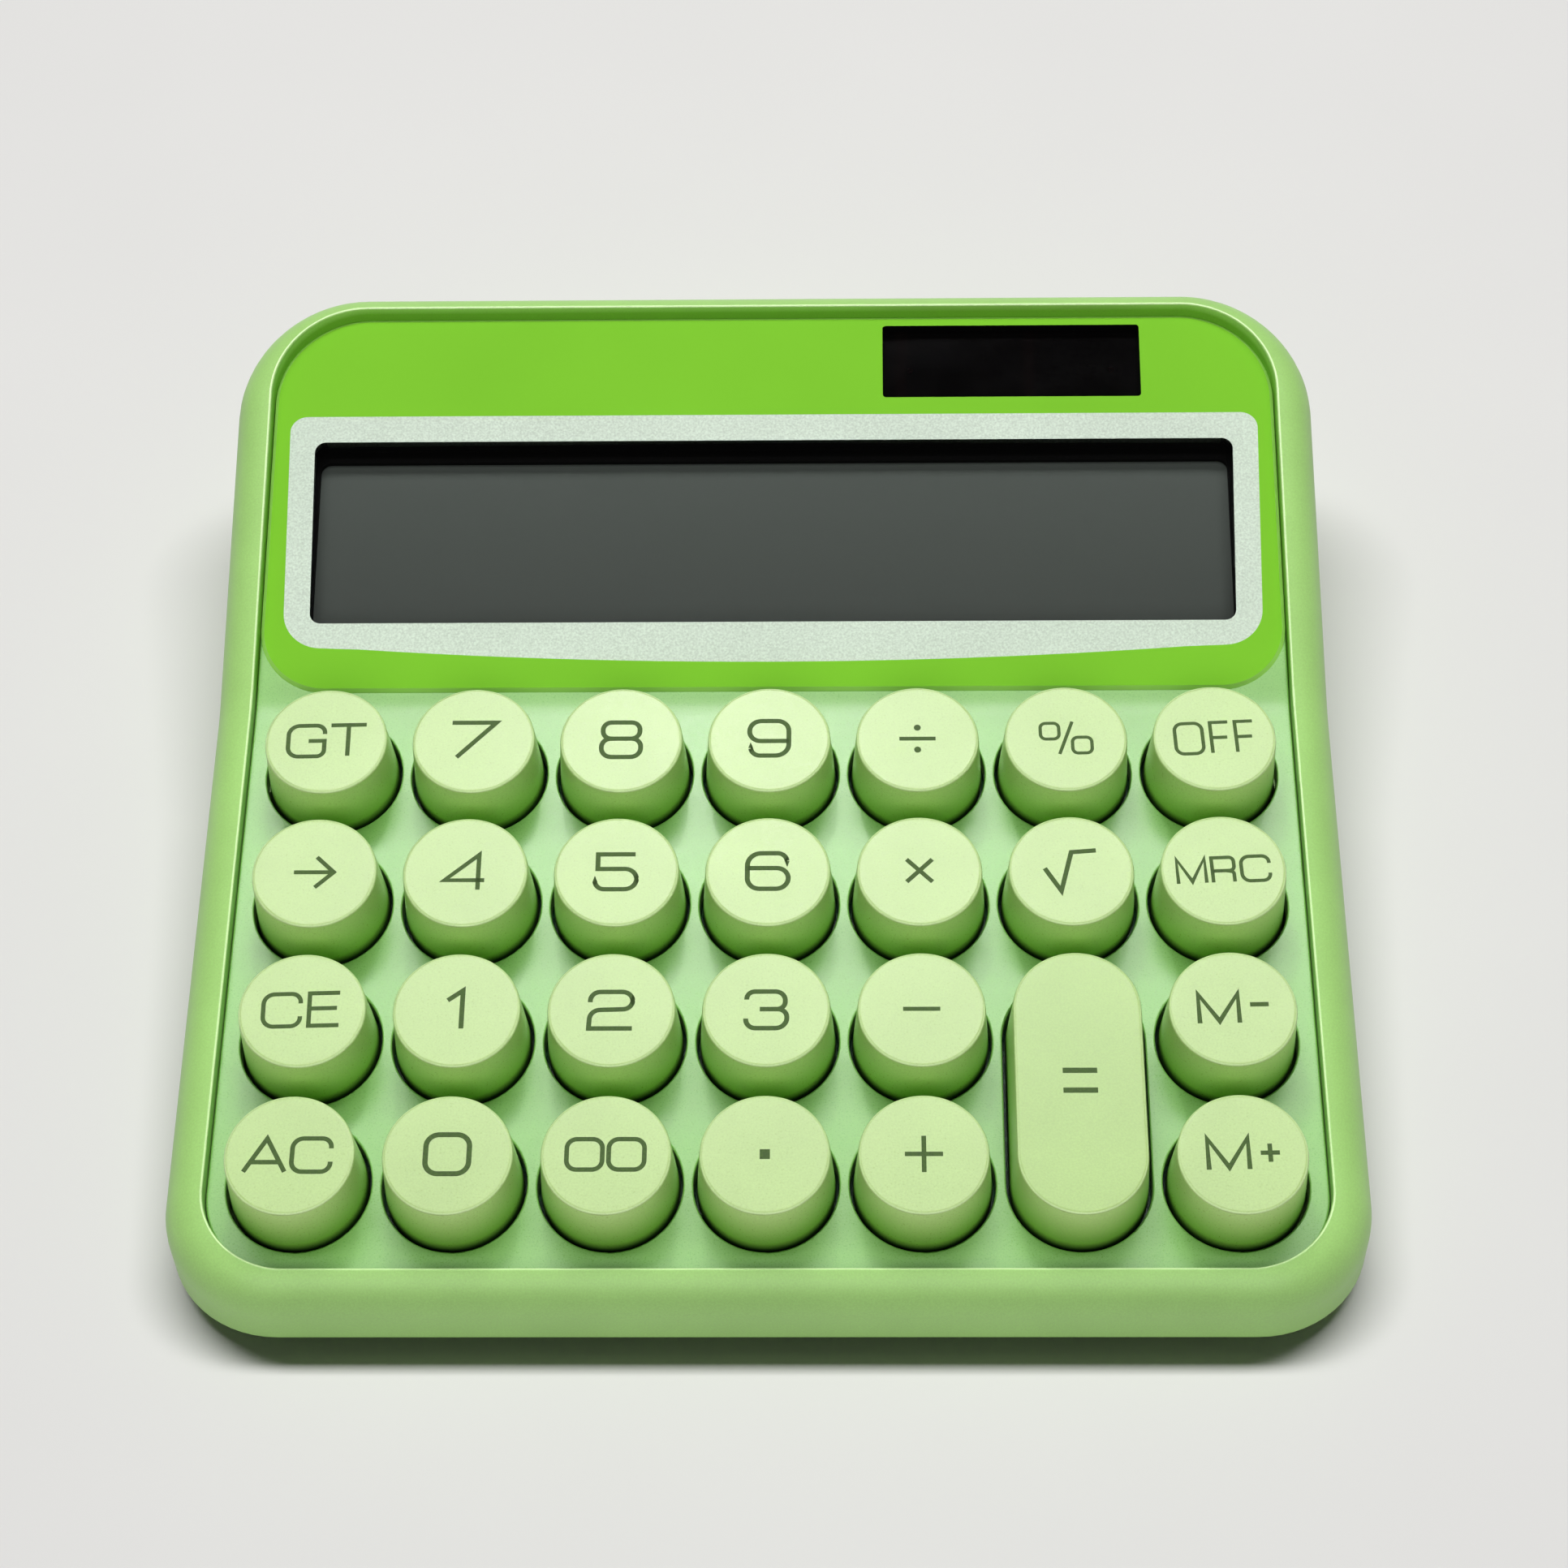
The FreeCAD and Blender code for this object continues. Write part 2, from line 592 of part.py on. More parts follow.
def below(name, offset, rise=size.display_extra_tilt):
    """Everything under the bent face of the calculator, moved along its normal by an offset.

    The rise is how much steeper than the deck it is behind the bend.
    """
    sketch = new_sketch(name + "_profile")
    sketch.Placement = Placement(Vector(), Rotation(Vector(1, 1, 1), 120))
    flat, steep = size.deck_tilt, size.deck_tilt + rise
    share = offset / (1.0 + cosine(size.display_extra_tilt))
    crease_y = bend_y - share * (sine(flat) + sine(display_tilt))
    crease_z = bend_z + share * (cosine(flat) + cosine(display_tilt))
    radius = size.bend_radius - offset
    reach = radius * tangent(rise / 2)
    start_y = front_y - SPARE
    stop_y = rear_y + SPARE
    run = [(start_y, 0.0), (start_y, crease_z + (start_y - crease_y) * tangent(flat)),
           (crease_y - reach * cosine(flat), crease_z - reach * sine(flat)),
           (crease_y + reach * cosine(steep), crease_z + reach * sine(steep)),
           (stop_y, crease_z + (stop_y - crease_y) * tangent(steep)), (stop_y, 0.0)]
    points = [Vector(value_of(y), value_of(z), 0) for y, z in run]
    up = Vector(-sine(flat).value, cosine(flat).value, 0)
    centre = points[2] + up * radius.value
    turn = math.radians(flat.value) - math.pi / 2
    arc = Part.ArcOfCircle(Part.Circle(centre, Vector(0, 0, 1), radius.value), turn,
                           turn + math.radians(rise.value))
    sketch.addGeometry(Part.LineSegment(points[0], points[1]))
    sketch.addGeometry(Part.LineSegment(points[1], points[2]))
    sketch.addGeometry(arc)
    sketch.addGeometry(Part.LineSegment(points[3], points[4]))
    sketch.addGeometry(Part.LineSegment(points[4], points[5]))
    sketch.addGeometry(Part.LineSegment(points[5], points[0]))
    crease = sketch.addGeometry(Part.Point(Vector(value_of(crease_y), value_of(crease_z), 0)), True)
    relate(sketch, "Coincident", 0, END, 1, START)
    relate(sketch, "Tangent", 1, END, 2, START)
    relate(sketch, "Tangent", 2, END, 3, START)
    relate(sketch, "Coincident", 3, END, 4, START)
    relate(sketch, "Coincident", 4, END, 5, START)
    relate(sketch, "Coincident", 5, END, 0, START)
    relate(sketch, "Vertical", 0)
    relate(sketch, "Vertical", 4)
    relate(sketch, "Horizontal", 5)
    relate(sketch, "PointOnObject", crease, START, 1)
    relate(sketch, "PointOnObject", crease, START, 3)
    constrain(sketch, start_y, "DistanceX", *ORIGIN, 0, START)
    constrain(sketch, stop_y, "DistanceX", *ORIGIN, 4, START)
    relate(sketch, "PointOnObject", 0, START, -1)
    constrain(sketch, flat, "Angle", 1)
    constrain(sketch, steep, "Angle", 3)
    pin(sketch, crease, START, crease_y, crease_z)
    constrain(sketch, radius, "Radius", 2)
    return extrude(name, sketch, -half_width - SPARE, half_width + SPARE)


# Helpers for pieces that are built as bodies

def new_body(name):
    return doc.addObject("PartDesign::Body", name)


def body_plane(body, role):
    return [plane for plane in body.Origin.OriginFeatures if plane.Role == role][0]


def body_sketch(body, name, role="XY_Plane", height=None):
    sketch = body.newObject("Sketcher::SketchObject", name)
    sketch.AttachmentSupport = [(body_plane(body, role), "")]
    sketch.MapMode = "FlatFace"
    if height is not None:
        bind(sketch, "AttachmentOffset.Base.z", height)
    return sketch


def pad(body, sketch, length):
    feature = body.newObject("PartDesign::Pad", sketch.Name + "_pad")
    feature.Profile = sketch
    bind(feature, "Length", length)
    return feature


def pocket(body, sketch, length):
    """Cut up from a sketch, along its normal."""
    feature = body.newObject("PartDesign::Pocket", sketch.Name + "_pocket")
    feature.Profile = sketch
    feature.Reversed = True
    bind(feature, "Length", length)
    return feature


def turned_body(name, points):
    """A body of revolution about Z, from the radius and height of each corner of its section."""
    body = new_body(name)
    sketch = body_sketch(body, name + "_section", "XZ_Plane")
    draw_polygon(sketch, points)
    feature = body.newObject("PartDesign::Revolution", name + "_turned")
    feature.Profile = sketch
    feature.ReferenceAxis = (sketch, ["V_Axis"])
    feature.Angle = 360.0
    doc.recompute()
    return body


def round_body_edges(body, height, radius):
    """Round the outer edges of a body that lie all at one height."""
    base = body.Tip
    names = []
    for number, edge in enumerate(base.Shape.Edges, start=1):
        box_of_edge = edge.BoundBox
        if abs(box_of_edge.ZMin - height.value) < 1e-6 and abs(box_of_edge.ZMax - height.value) < 1e-6:
            names.append("Edge%d" % number)
    feature = body.newObject("PartDesign::Fillet", body.Name + "_edge")
    feature.Base = (base, names)
    bind(feature, "Radius", radius)
    doc.recompute()
    return feature


# Case

def make_top_cover():
    through = size.skirt_z - SPARE
    high = bend_z + size.case_depth
    block = common("cover_block", plan_prism("cover_prism", (0.0, 0.0, 0.0), size.skirt_z, high),
                   below("under_rim", size.rim_rise, size.display_extra_tilt + size.rim_extra_tilt))
    doc.recompute()
    shoulder = edges_between(block.Shape, faces_up, stands)
    hem = edges_between(block.Shape, faces_down, stands)
    soft = fillet("cover_soft", block, (shoulder, size.shoulder), (hem, size.skirt_round))
    rim = (size.rim_side, size.rim_front, size.rim_rear)
    opening = cut("cover_opening", plan_prism("opening_prism", rim, through, high),
                  below("under_ledge_top", bed_under))
    ledge = plan_prism("ledge_prism", [edge + size.ledge_reach for edge in rim], through, high)
    room = common("cover_room", plan_prism("room_prism", (size.wall, size.wall, size.wall), through, high),
                  below("under_ledge", bed_under - size.ledge_thick))
    shell = cut("cover_shell", soft, opening, ledge, room)
    posts = common("cover_posts", fuse("cover_post_rods", *[
        rod("cover_post_%d" % number, case_frame, size.post_dia, x, y, (size.tube_top, high))
        for number, (x, y) in enumerate(screw_spots)]), below("under_post", bed_under - WELD),
        plan_prism("post_limit", (size.wall - WELD, size.wall - WELD, size.wall - WELD), 0.0, high))
    pilots = [rod("cover_pilot_%d" % number, case_frame, size.screw_shank + 2 * size.screw_gap, x, y,
                  (size.tube_top - WELD, size.screw_top + size.screw_gap))
              for number, (x, y) in enumerate(screw_spots)]
    notch_half = size.door_half + size.tongue_reach + size.door_gap
    notch = box("cover_notch", case_frame, (-notch_half, notch_half),
                (rear_y - size.wall - WELD, rear_y + SPARE),
                (0.0, size.floor_z + size.door_thick + size.door_gap))
    solid = cut("cover_drilled", fuse("cover_with_posts", shell, posts), notch, *pilots)
    doc.recompute()
    inner = edges_between(solid.Shape, is_shoulder, is_opening_wall)
    return node("top_cover", fillet("cover_rimmed", solid, (inner, size.rim_edge)))


def is_shoulder(face):
    return face.Surface.TypeId != "Part::GeomPlane" and 0.2 < normal_of(face).z


def is_opening_wall(face):
    bounds = face.BoundBox
    reach_x = max(abs(bounds.XMin), abs(bounds.XMax))
    reach_y = max(abs(bounds.YMin), abs(bounds.YMax))
    inside = reach_x < half_width.value - size.wall.value and reach_y < rear_y.value - size.wall.value
    return inside and stands(face)


def make_face_plate(deck_top, bed_bottom):
    outline = [edge + size.plate_gap for edge in (size.rim_side, size.rim_front, size.rim_rear)]
    high = bend_z + size.case_depth
    sheet_solid = common("plate_sheet", plan_prism("plate_prism", outline, 0.0, high),
                         cut("plate_band", deck_top, bed_bottom))
    holes = new_sketch("key_holes")
    place(holes, deck_frame)
    hole = cap_base + 2 * size.hole_gap
    for x, y in round_keys.values():
        draw_circle(holes, hole, x, y)
    draw_slot(holes, hole / 2, pitch_y, long_key_x, long_key_y)
    key_cut = extrude("key_hole_cut", holes, -SPARE, SPARE)
    seat = common("lens_seat", lens_prism("lens_seat_prism", size.lens_gap),
                  box("lens_seat_slab", display_frame, (-half_width, half_width), (0.0, size.case_depth),
                      (-size.lens_recess, size.case_depth)))
    margin = size.bed_margin
    window = box("bed_window", display_frame, (-window_half - margin, window_half + margin),
                 (size.window_front - margin, window_rear + size.bed_rear_margin), (-SPARE, SPARE))
    spare = size.solar_margin + size.solar_fit
    solar = box("bed_solar_window", display_frame, (solar_left - spare, solar_right + spare),
                (solar_front - spare, solar_rear + spare), (-SPARE, SPARE))
    bosses = new_sketch("board_bosses")
    place(bosses, deck_frame)
    pilots = new_sketch("board_pilots")
    place(pilots, deck_frame)
    for x, y in board_spots:
        draw_circle(bosses, size.board_boss, x, y)
        draw_circle(pilots, size.board_screw + 2 * size.screw_gap, x, y)
    boss_rods = extrude("board_boss_rods", bosses, board_top, bed_under + WELD)
    pilot_rods = extrude("board_pilot_rods", pilots, board_top - WELD,
                         board_top + size.screw_bite + size.screw_gap)
    bare = cut("plate_open", sheet_solid, seat, window, solar, key_cut)
    solid = cut("plate_drilled", fuse("plate_with_bosses", bare, boss_rods), pilot_rods)
    doc.recompute()
    rounds = edges_between(solid.Shape, is_deck, is_hole_wall)
    return node("face_plate", fillet("plate_rounded", solid, (rounds, size.hole_edge)))


def is_deck(face):
    return face.Surface.TypeId == "Part::GeomPlane" and abs(
        normal_of(face).z - math.cos(math.radians(size.deck_tilt.value))) < 1e-6


def is_hole_wall(face):
    if face.Surface.TypeId == "Part::GeomCylinder":
        return abs(face.Surface.Radius - cap_base.value / 2 - size.hole_gap.value) < 1e-6
    middle = face.CenterOfMass
    return stands(face) and abs(middle.x) < half_width.value - 2 * size.rim_side.value


def lens_prism(name, growth):
    """An upright prism on the lens's outline, grown by an amount."""
    sketch = new_sketch(name + "_outline")
    side = half_width - size.rim_side - size.plate_gap + growth
    front = bend_y + size.lens_setback * cosine(display_tilt) - growth
    rear = rear_y - size.rim_rear - size.plate_gap + growth
    draw_rounded_box(sketch, -side, side, front, rear, size.lens_corner + growth,
                     size.rear_corner - size.rim_rear - size.plate_gap + growth)
    return extrude(name, sketch, 0.0, bend_z + size.case_depth)


def make_display_lens():
    slab = box("lens_slab", display_frame, (-half_width, half_width), (0.0, size.case_depth),
               (-size.lens_recess, size.lens_thick - size.lens_recess))
    blank = common("lens_blank", lens_prism("lens_prism", 0.0), slab)
    doc.recompute()
    rim = edges_between(blank.Shape, faces_up, stands)
    thing = doc.addObject("Part::Chamfer", "lens_bevelled")
    thing.Base = blank
    thing.Edges = [(number, size.lens_bevel.value, size.lens_bevel.value) for number in rim]
    return node("display_lens", thing)


# Keys

def cap_radius(height):
    """Outer radius of a key at a height above the deck."""
    slope = (cap_base - cap_top) / 2 / (size.key_height + size.key_sink)
    return cap_top / 2 + (size.key_height - height) * slope


def make_round_cap():
    foot = -size.key_sink
    bore = size.spigot_dia / 2 + size.spigot_gap
    body = turned_body("round_cap", [
        (0.0, size.key_height), (cap_radius(size.key_height), size.key_height), (cap_radius(foot), foot),
        (cap_radius(foot) - size.cap_wall, foot), (cap_radius(cap_under) - size.cap_wall, cap_under),
        (size.boss_dia / 2, cap_under), (size.boss_dia / 2, boss_end), (bore, boss_end), (bore, cap_under),
        (0.0, cap_under)])
    round_body_edges(body, size.key_height, size.cap_edge)
    return body


def make_plunger():
    spring_bore = size.spring_dia / 2 + size.spring_play
    bore_end = plunger_end + size.spring_seat
    return turned_body("plunger", [
        (0.0, cap_under), (size.spigot_dia / 2, cap_under), (size.spigot_dia / 2, boss_end),
        (size.plunger_dia / 2, boss_end), (size.plunger_dia / 2, plunger_end), (spring_bore, plunger_end),
        (spring_bore, bore_end), (0.0, bore_end)])


def slot_loft(name, bottom, top, inset):
    """The long key's tapered form between two heights, drawn in by an inset."""
    rings = []
    for end, height in (("low", bottom), ("high", top)):
        sketch = new_sketch("%s_%s" % (name, end))
        bind(sketch, "Placement.Base.z", height)
        draw_slot(sketch, cap_radius(height) - inset, pitch_y, 0.0 * pitch_y, 0.0 * pitch_y)
        rings.append(sketch)
    thing = doc.addObject("Part::Loft", name)
    thing.Sections = rings
    thing.Solid = True
    thing.Ruled = True
    return thing


def make_long_cap():
    foot = -size.key_sink
    form = slot_loft("long_cap_form", foot, size.key_height, 0.0 * foot)
    doc.recompute()
    top_edges = edges_between(form.Shape, faces_up, leans)
    soft = fillet("long_cap_soft", form, (top_edges, size.cap_edge))
    hollow = slot_loft("long_cap_hollow", foot, cap_under, size.cap_wall)
    boss = cut("long_cap_boss",
               rod("long_cap_socket", case_frame, size.boss_dia, 0.0, 0.0, (boss_end, cap_under + WELD)),
               rod("long_cap_bore", case_frame, size.spigot_dia + 2 * size.spigot_gap, 0.0, 0.0,
                   (boss_end, cap_under)))
    posts = [rod("long_cap_post_%d" % number, case_frame, size.guide_post, 0.0, side * size.guide_spread,
                 (plunger_end, cap_under + WELD)) for number, side in enumerate((-1, 1))]
    return fuse("long_cap", cut("long_cap_shell", soft, hollow), boss, *posts)


def make_keys():
    round_cap = make_round_cap()
    plunger = make_plunger()
    long_cap = make_long_cap()
    spots = dict(round_keys)
    spots[LONG_KEY] = (long_key_x, long_key_y)
    for name, (x, y) in spots.items():
        key = doc.addObject("Part::Compound", name)
        key.Links = [long_cap if name == LONG_KEY else round_cap, plunger]
        place(key, deck_frame, x, y)
        node(name, key)


# Switches and their board

def make_switches():
    body = new_body("switch_housing")
    half = size.switch_width / 2
    base = body_sketch(body, "switch_base", height=board_top)
    draw_polygon(base, [(-half, -half), (half, -half), (half, half), (-half, half)])
    pad(body, base, size.switch_height)
    bore = body_sketch(body, "switch_bore", height=spring_foot)
    draw_circle(bore, size.plunger_dia + 2 * size.run_gap)
    pocket(body, bore, size.switch_height)
    doc.recompute()
    cluster("switch_housings", body, [spot(deck_frame, x, y, 0.0) for x, y in switch_spots])

    rim = size.spring_dia / 2
    spring = turned_body("key_spring", [
        (rim - size.spring_wire, spring_foot), (rim, spring_foot),
        (rim, plunger_end + size.spring_seat - size.spring_play),
        (rim - size.spring_wire, plunger_end + size.spring_seat - size.spring_play)])
    cluster("key_springs", spring, [spot(deck_frame, x, y, 0.0) for x, y in switch_spots])

    bore_radius = size.guide_post / 2 + size.run_gap
    guide = turned_body("guide_bush", [
        (bore_radius, board_top), (bore_radius + size.guide_wall, board_top),
        (bore_radius + size.guide_wall, switch_top), (bore_radius, switch_top)])
    cluster("equals_guides", guide, [spot(deck_frame, x, y, 0.0) for x, y in guide_spots])


def make_key_board():
    body = new_body("key_board_body")
    outline = body_sketch(body, "key_board_outline", height=board_under)
    half = board_half
    draw_polygon(outline, [(-half, -board_front), (half, -board_front),
                           (half, board_rear), (-half, board_rear)])
    pad(body, outline, size.board_thick)
    holes = body_sketch(body, "key_board_holes", height=board_under)
    for x, y in board_spots:
        draw_circle(holes, size.board_screw + 2 * size.screw_gap, x, y)
    pocket(body, holes, size.board_thick)
    place(body, deck_frame)
    doc.recompute()
    return node("key_board", body)


def screw_body(name, head_dia, head_height, shank_dia, length):
    """A pan-head screw that points up, with the seat of its head at the origin."""
    return turned_body(name, [
        (0.0, -head_height), (head_dia / 2, -head_height), (head_dia / 2, 0.0 * head_height),
        (shank_dia / 2, 0.0 * head_height), (shank_dia / 2, length), (0.0, length)])


def make_board_screws():
    screw = screw_body("board_screw_body", size.board_screw_head, size.screw_head_height,
                       size.board_screw, size.board_thick + size.screw_bite)
    cluster("board_screws", screw, [spot(deck_frame, x, y, board_under) for x, y in board_spots])


# Display

def make_display():
    holder_x = window_half + size.holder_border
    holder_front = size.window_front - size.holder_border
    holder_rear = window_rear + size.holder_rear_border
    pocket_x = holder_x - size.holder_wall
    pocket_front = holder_front + size.holder_wall
    pocket_rear = holder_rear - size.holder_wall
    fit = size.holder_fit

    holder = box("holder_block", display_frame, (-holder_x, holder_x), (holder_front, holder_rear),
                 (display_board_top, bed_under))
    ears = [rod("holder_ear_%d" % number, display_frame, size.ear_dia, x, y, (display_board_top, bed_under))
            for number, (x, y) in enumerate(ear_spots)]
    pilots = [rod("holder_pilot_%d" % number, display_frame, size.board_screw + 2 * size.screw_gap, x, y,
                  (display_board_top - WELD, display_board_top + size.screw_bite + size.screw_gap))
              for number, (x, y) in enumerate(ear_spots)]
    window = new_sketch("holder_window_outline")
    place(window, display_frame)
    draw_rounded_box(window, -window_half, window_half, size.window_front, window_rear,
                     size.window_corner, size.window_corner)
    window_cut = extrude("holder_window", window, -SPARE, SPARE)
    pocket_cut = box("holder_pocket", display_frame, (-pocket_x, pocket_x), (pocket_front, pocket_rear),
                     (display_board_top - WELD, lcd_face))
    node("lcd_holder", cut("holder", fuse("holder_eared", holder, *ears), window_cut, pocket_cut, *pilots))

    node("lcd_panel", box("lcd_glass", display_frame, (fit - pocket_x, pocket_x - fit),
                          (pocket_front + fit, pocket_rear - fit), (lcd_back, lcd_face)))
    strip_x = pocket_x - size.strip_margin
    node("lcd_contact_strip", box("strip", display_frame, (-strip_x, strip_x),
                                  (pocket_rear - 2 * size.strip_width, pocket_rear - size.strip_width),
                                  (display_board_top, lcd_back)))
    board = box("display_board_sheet", display_frame, (-holder_x, holder_x),
                (ear_front - size.ear_dia / 2, display_board_rear),
                (display_board_under, display_board_top))
    hole = size.board_screw + 2 * size.screw_gap
    board_holes = [rod("display_board_hole_%d" % number, display_frame, hole, x, y,
                       (display_board_under - WELD, display_board_top + WELD))
                   for number, (x, y) in enumerate(ear_spots)]
    node("display_board", cut("display_board_drilled", board, *board_holes))
    screw = doc.getObject("board_screw_body")
    cluster("display_screws", screw, [spot(display_frame, x, y, display_board_under) for x, y in ear_spots])

    drop = turned_body("chip_drop", [
        (0.0, size.chip_height), (size.chip_dia / 4, size.chip_height),
        (size.chip_dia / 2, size.chip_height / 2), (size.chip_dia / 2, 0.0 * size.chip_height),
        (0.0, 0.0 * size.chip_height)])
    place(drop, display_frame, size.chip_x, size.chip_setback, display_board_under - size.chip_height)
    node("controller_chip", drop)
    can_end = display_board_under - size.cap_can_height
    node("capacitor", rod("capacitor_can", display_frame, size.cap_can_dia, size.cap_can_x,
                          size.chip_setback, (can_end, display_board_under)))

    margin = size.solar_margin
    solar_back = -size.lens_recess - size.solar_thick
    node("solar_cell", box("solar_sheet", display_frame,
                           (solar_left - margin, solar_right + margin),
                           (solar_front - margin, solar_rear + margin),
                           (solar_back, -size.lens_recess)))
    lead = turned_body("solar_lead", [
        (0.0, display_board_top), (size.lead_dia / 2, display_board_top),
        (size.lead_dia / 2, solar_back), (0.0, solar_back)])
    middle = (solar_front + solar_rear) / 2
    ends = (solar_left + size.lead_inset, solar_right - size.lead_inset)
    cluster("solar_leads", lead, [spot(display_frame, x, middle, 0.0) for x in ends])


def frame_point(frame, y, z):
    """A point of a frame's middle plane, in the case's own axes."""
    return spot(frame, 0.0, y, z).Base


def make_board_ribbon():
    """A flat cable from under the key board's rear edge to under the display board's front edge."""
    lap = size.ribbon_lap.value
    thick = size.ribbon_thick.value
    width = size.ribbon_width.value
    rear = board_rear.value
    front = (ear_front - size.ear_dia / 2).value

    def run(depth):
        key_side, display_side = board_under.value - depth, display_board_under.value - depth
        edge = frame_point(deck_frame, rear + thick, key_side)
        rise = frame_point(display_frame, front, display_side)
        dip = (edge + rise) * 0.5 - Vector(0, 0, size.ribbon_sag.value)
        return [frame_point(deck_frame, rear - lap, key_side), edge, dip, rise,
                frame_point(display_frame, front + lap, display_side)]

    upper, lower = run(0.0), run(thick)
    face = Part.Face(Part.makePolygon(upper + lower[::-1] + upper[:1]))
    thing = doc.addObject("Part::Feature", "board_ribbon")
    thing.Shape = face.extrude(Vector(width, 0, 0))
    thing.Placement = Placement(Vector(-width / 2, 0, 0), Rotation())
    return node("board_ribbon", thing)


# Bottom and battery

def make_bottom():
    inset = size.wall + size.floor_gap
    door_top = size.floor_z + size.door_thick
    slot_top = door_top + size.door_gap
    slot_half = size.door_half + size.door_gap
    rail_half = slot_half + size.tongue_reach
    pad_half = rail_half + size.rail_wall
    pad_top = slot_top + size.box_wall
    door_front = rear_y - size.door_length
    cell_y = rear_y - size.cell_inset
    room_y = size.cell_dia / 2 + size.cell_play
    room_x = (size.cell_length + size.nub_length + size.leaf_reach) / 2 + size.contact_thick
    roof = slot_top + size.cell_dia + 2 * size.cell_play
    box_x = room_x + size.box_wall
    box_y = room_y + size.box_wall

    outline = plan_prism("floor_prism", (inset, inset, inset), size.floor_z, floor_top)
    tubes = common("floor_tubes", fuse("floor_tube_rods", *[
        rod("floor_tube_%d" % number, case_frame, size.tube_dia, x, y, (size.floor_z, size.tube_top))
        for number, (x, y) in enumerate(screw_spots)]),
        plan_prism("tube_limit", (inset, inset, inset), 0.0, size.case_depth))
    rear_edge = rear_y - inset
    rails = box("floor_rails", case_frame, (-pad_half, pad_half),
                (door_front - size.door_gap - size.box_wall, rear_edge), (size.floor_z, pad_top))
    battery_box = box("battery_box", case_frame, (-box_x, box_x), (cell_y - box_y, cell_y + box_y),
                      (size.floor_z, roof + size.box_wall))
    slot = box("door_slot", case_frame, (-slot_half, slot_half),
               (door_front - size.door_gap, rear_y + SPARE), (0.0, slot_top))
    tongue_low = size.floor_z + size.tongue_rise
    grooves = box("door_grooves", case_frame, (-rail_half, rail_half),
                  (door_front - size.door_gap, rear_y + SPARE),
                  (tongue_low - size.door_gap, tongue_low + size.tongue_thick + size.door_gap))
    room = box("battery_room", case_frame, (-room_x, room_x), (cell_y - room_y, cell_y + room_y),
               (0.0, roof))
    tab_half = size.contact_width / 2
    tab_ends = ((-room_x, size.contact_thick - room_x), (room_x - size.contact_thick, room_x))
    tab_slots = [box("tab_slot_%d" % number, case_frame, ends, (cell_y - tab_half, cell_y + tab_half),
                     (roof - WELD, roof + 2 * size.box_wall)) for number, ends in enumerate(tab_ends)]
    wells = [rod("screw_well_%d" % number, case_frame, size.screw_head_dia + 2 * size.head_gap, x, y,
                 (0.0, size.tube_seat)) for number, (x, y) in enumerate(screw_spots)]
    passes = [rod("screw_pass_%d" % number, case_frame, size.screw_shank + 2 * size.screw_gap, x, y,
                  (0.0, size.tube_top + WELD)) for number, (x, y) in enumerate(screw_spots)]
    seats = [rod("foot_seat_%d" % number, case_frame, size.foot_dia + 2 * size.floor_gap, x, y,
                 (0.0, size.floor_z + size.foot_seat)) for number, (x, y) in enumerate(foot_spots)]
    node("bottom_cover", cut("floor_cut", fuse("floor_whole", outline, tubes, rails, battery_box),
                             slot, grooves, room, *tab_slots, *wells, *passes, *seats))

    screw = screw_body("case_screw_body", size.screw_head_dia, size.screw_head_thick, size.screw_shank,
                       size.screw_top - size.tube_seat)
    cluster("case_screws", screw, [Placement(Vector(x.value, y.value, size.tube_seat.value), Rotation())
                                   for x, y in screw_spots])
    foot_top = size.floor_z + size.foot_seat
    foot = turned_body("foot", [
        (0.0, 0.0 * foot_top), (size.foot_dia / 2 - size.foot_seat, 0.0 * foot_top),
        (size.foot_dia / 2, size.foot_seat), (size.foot_dia / 2, foot_top), (0.0, foot_top)])
    cluster("rubber_feet", foot, [Placement(Vector(x.value, y.value, 0), Rotation())
                                  for x, y in foot_spots])

    wall_face = rear_y - size.wall
    sheet_part = box("door_sheet", case_frame, (-size.door_half, size.door_half), (door_front, rear_y),
                     (size.floor_z, door_top))
    tongue_x = size.door_half + size.tongue_reach
    tongues = box("door_tongues", case_frame, (-tongue_x, tongue_x),
                  (door_front, wall_face - size.box_wall), (tongue_low, tongue_low + size.tongue_thick))
    end = box("door_end", case_frame, (-tongue_x, tongue_x), (wall_face + size.floor_gap, rear_y),
              (size.floor_z, door_top))
    ridges = [box("door_groove_%d" % number, case_frame, (-size.grip_width / 2, size.grip_width / 2),
                  (rear_y - size.foot_inset + (number - 1) * size.grip_pitch,
                   rear_y - size.foot_inset + (number - 0.5) * size.grip_pitch),
                  (0.0, size.floor_z + size.grip_depth)) for number in range(int(size.grip_count.value))]
    node("battery_door", cut("door", fuse("door_whole", sheet_part, tongues, end), *ridges))

    make_battery(cell_y, slot_top + size.cell_dia / 2, room_x, roof)


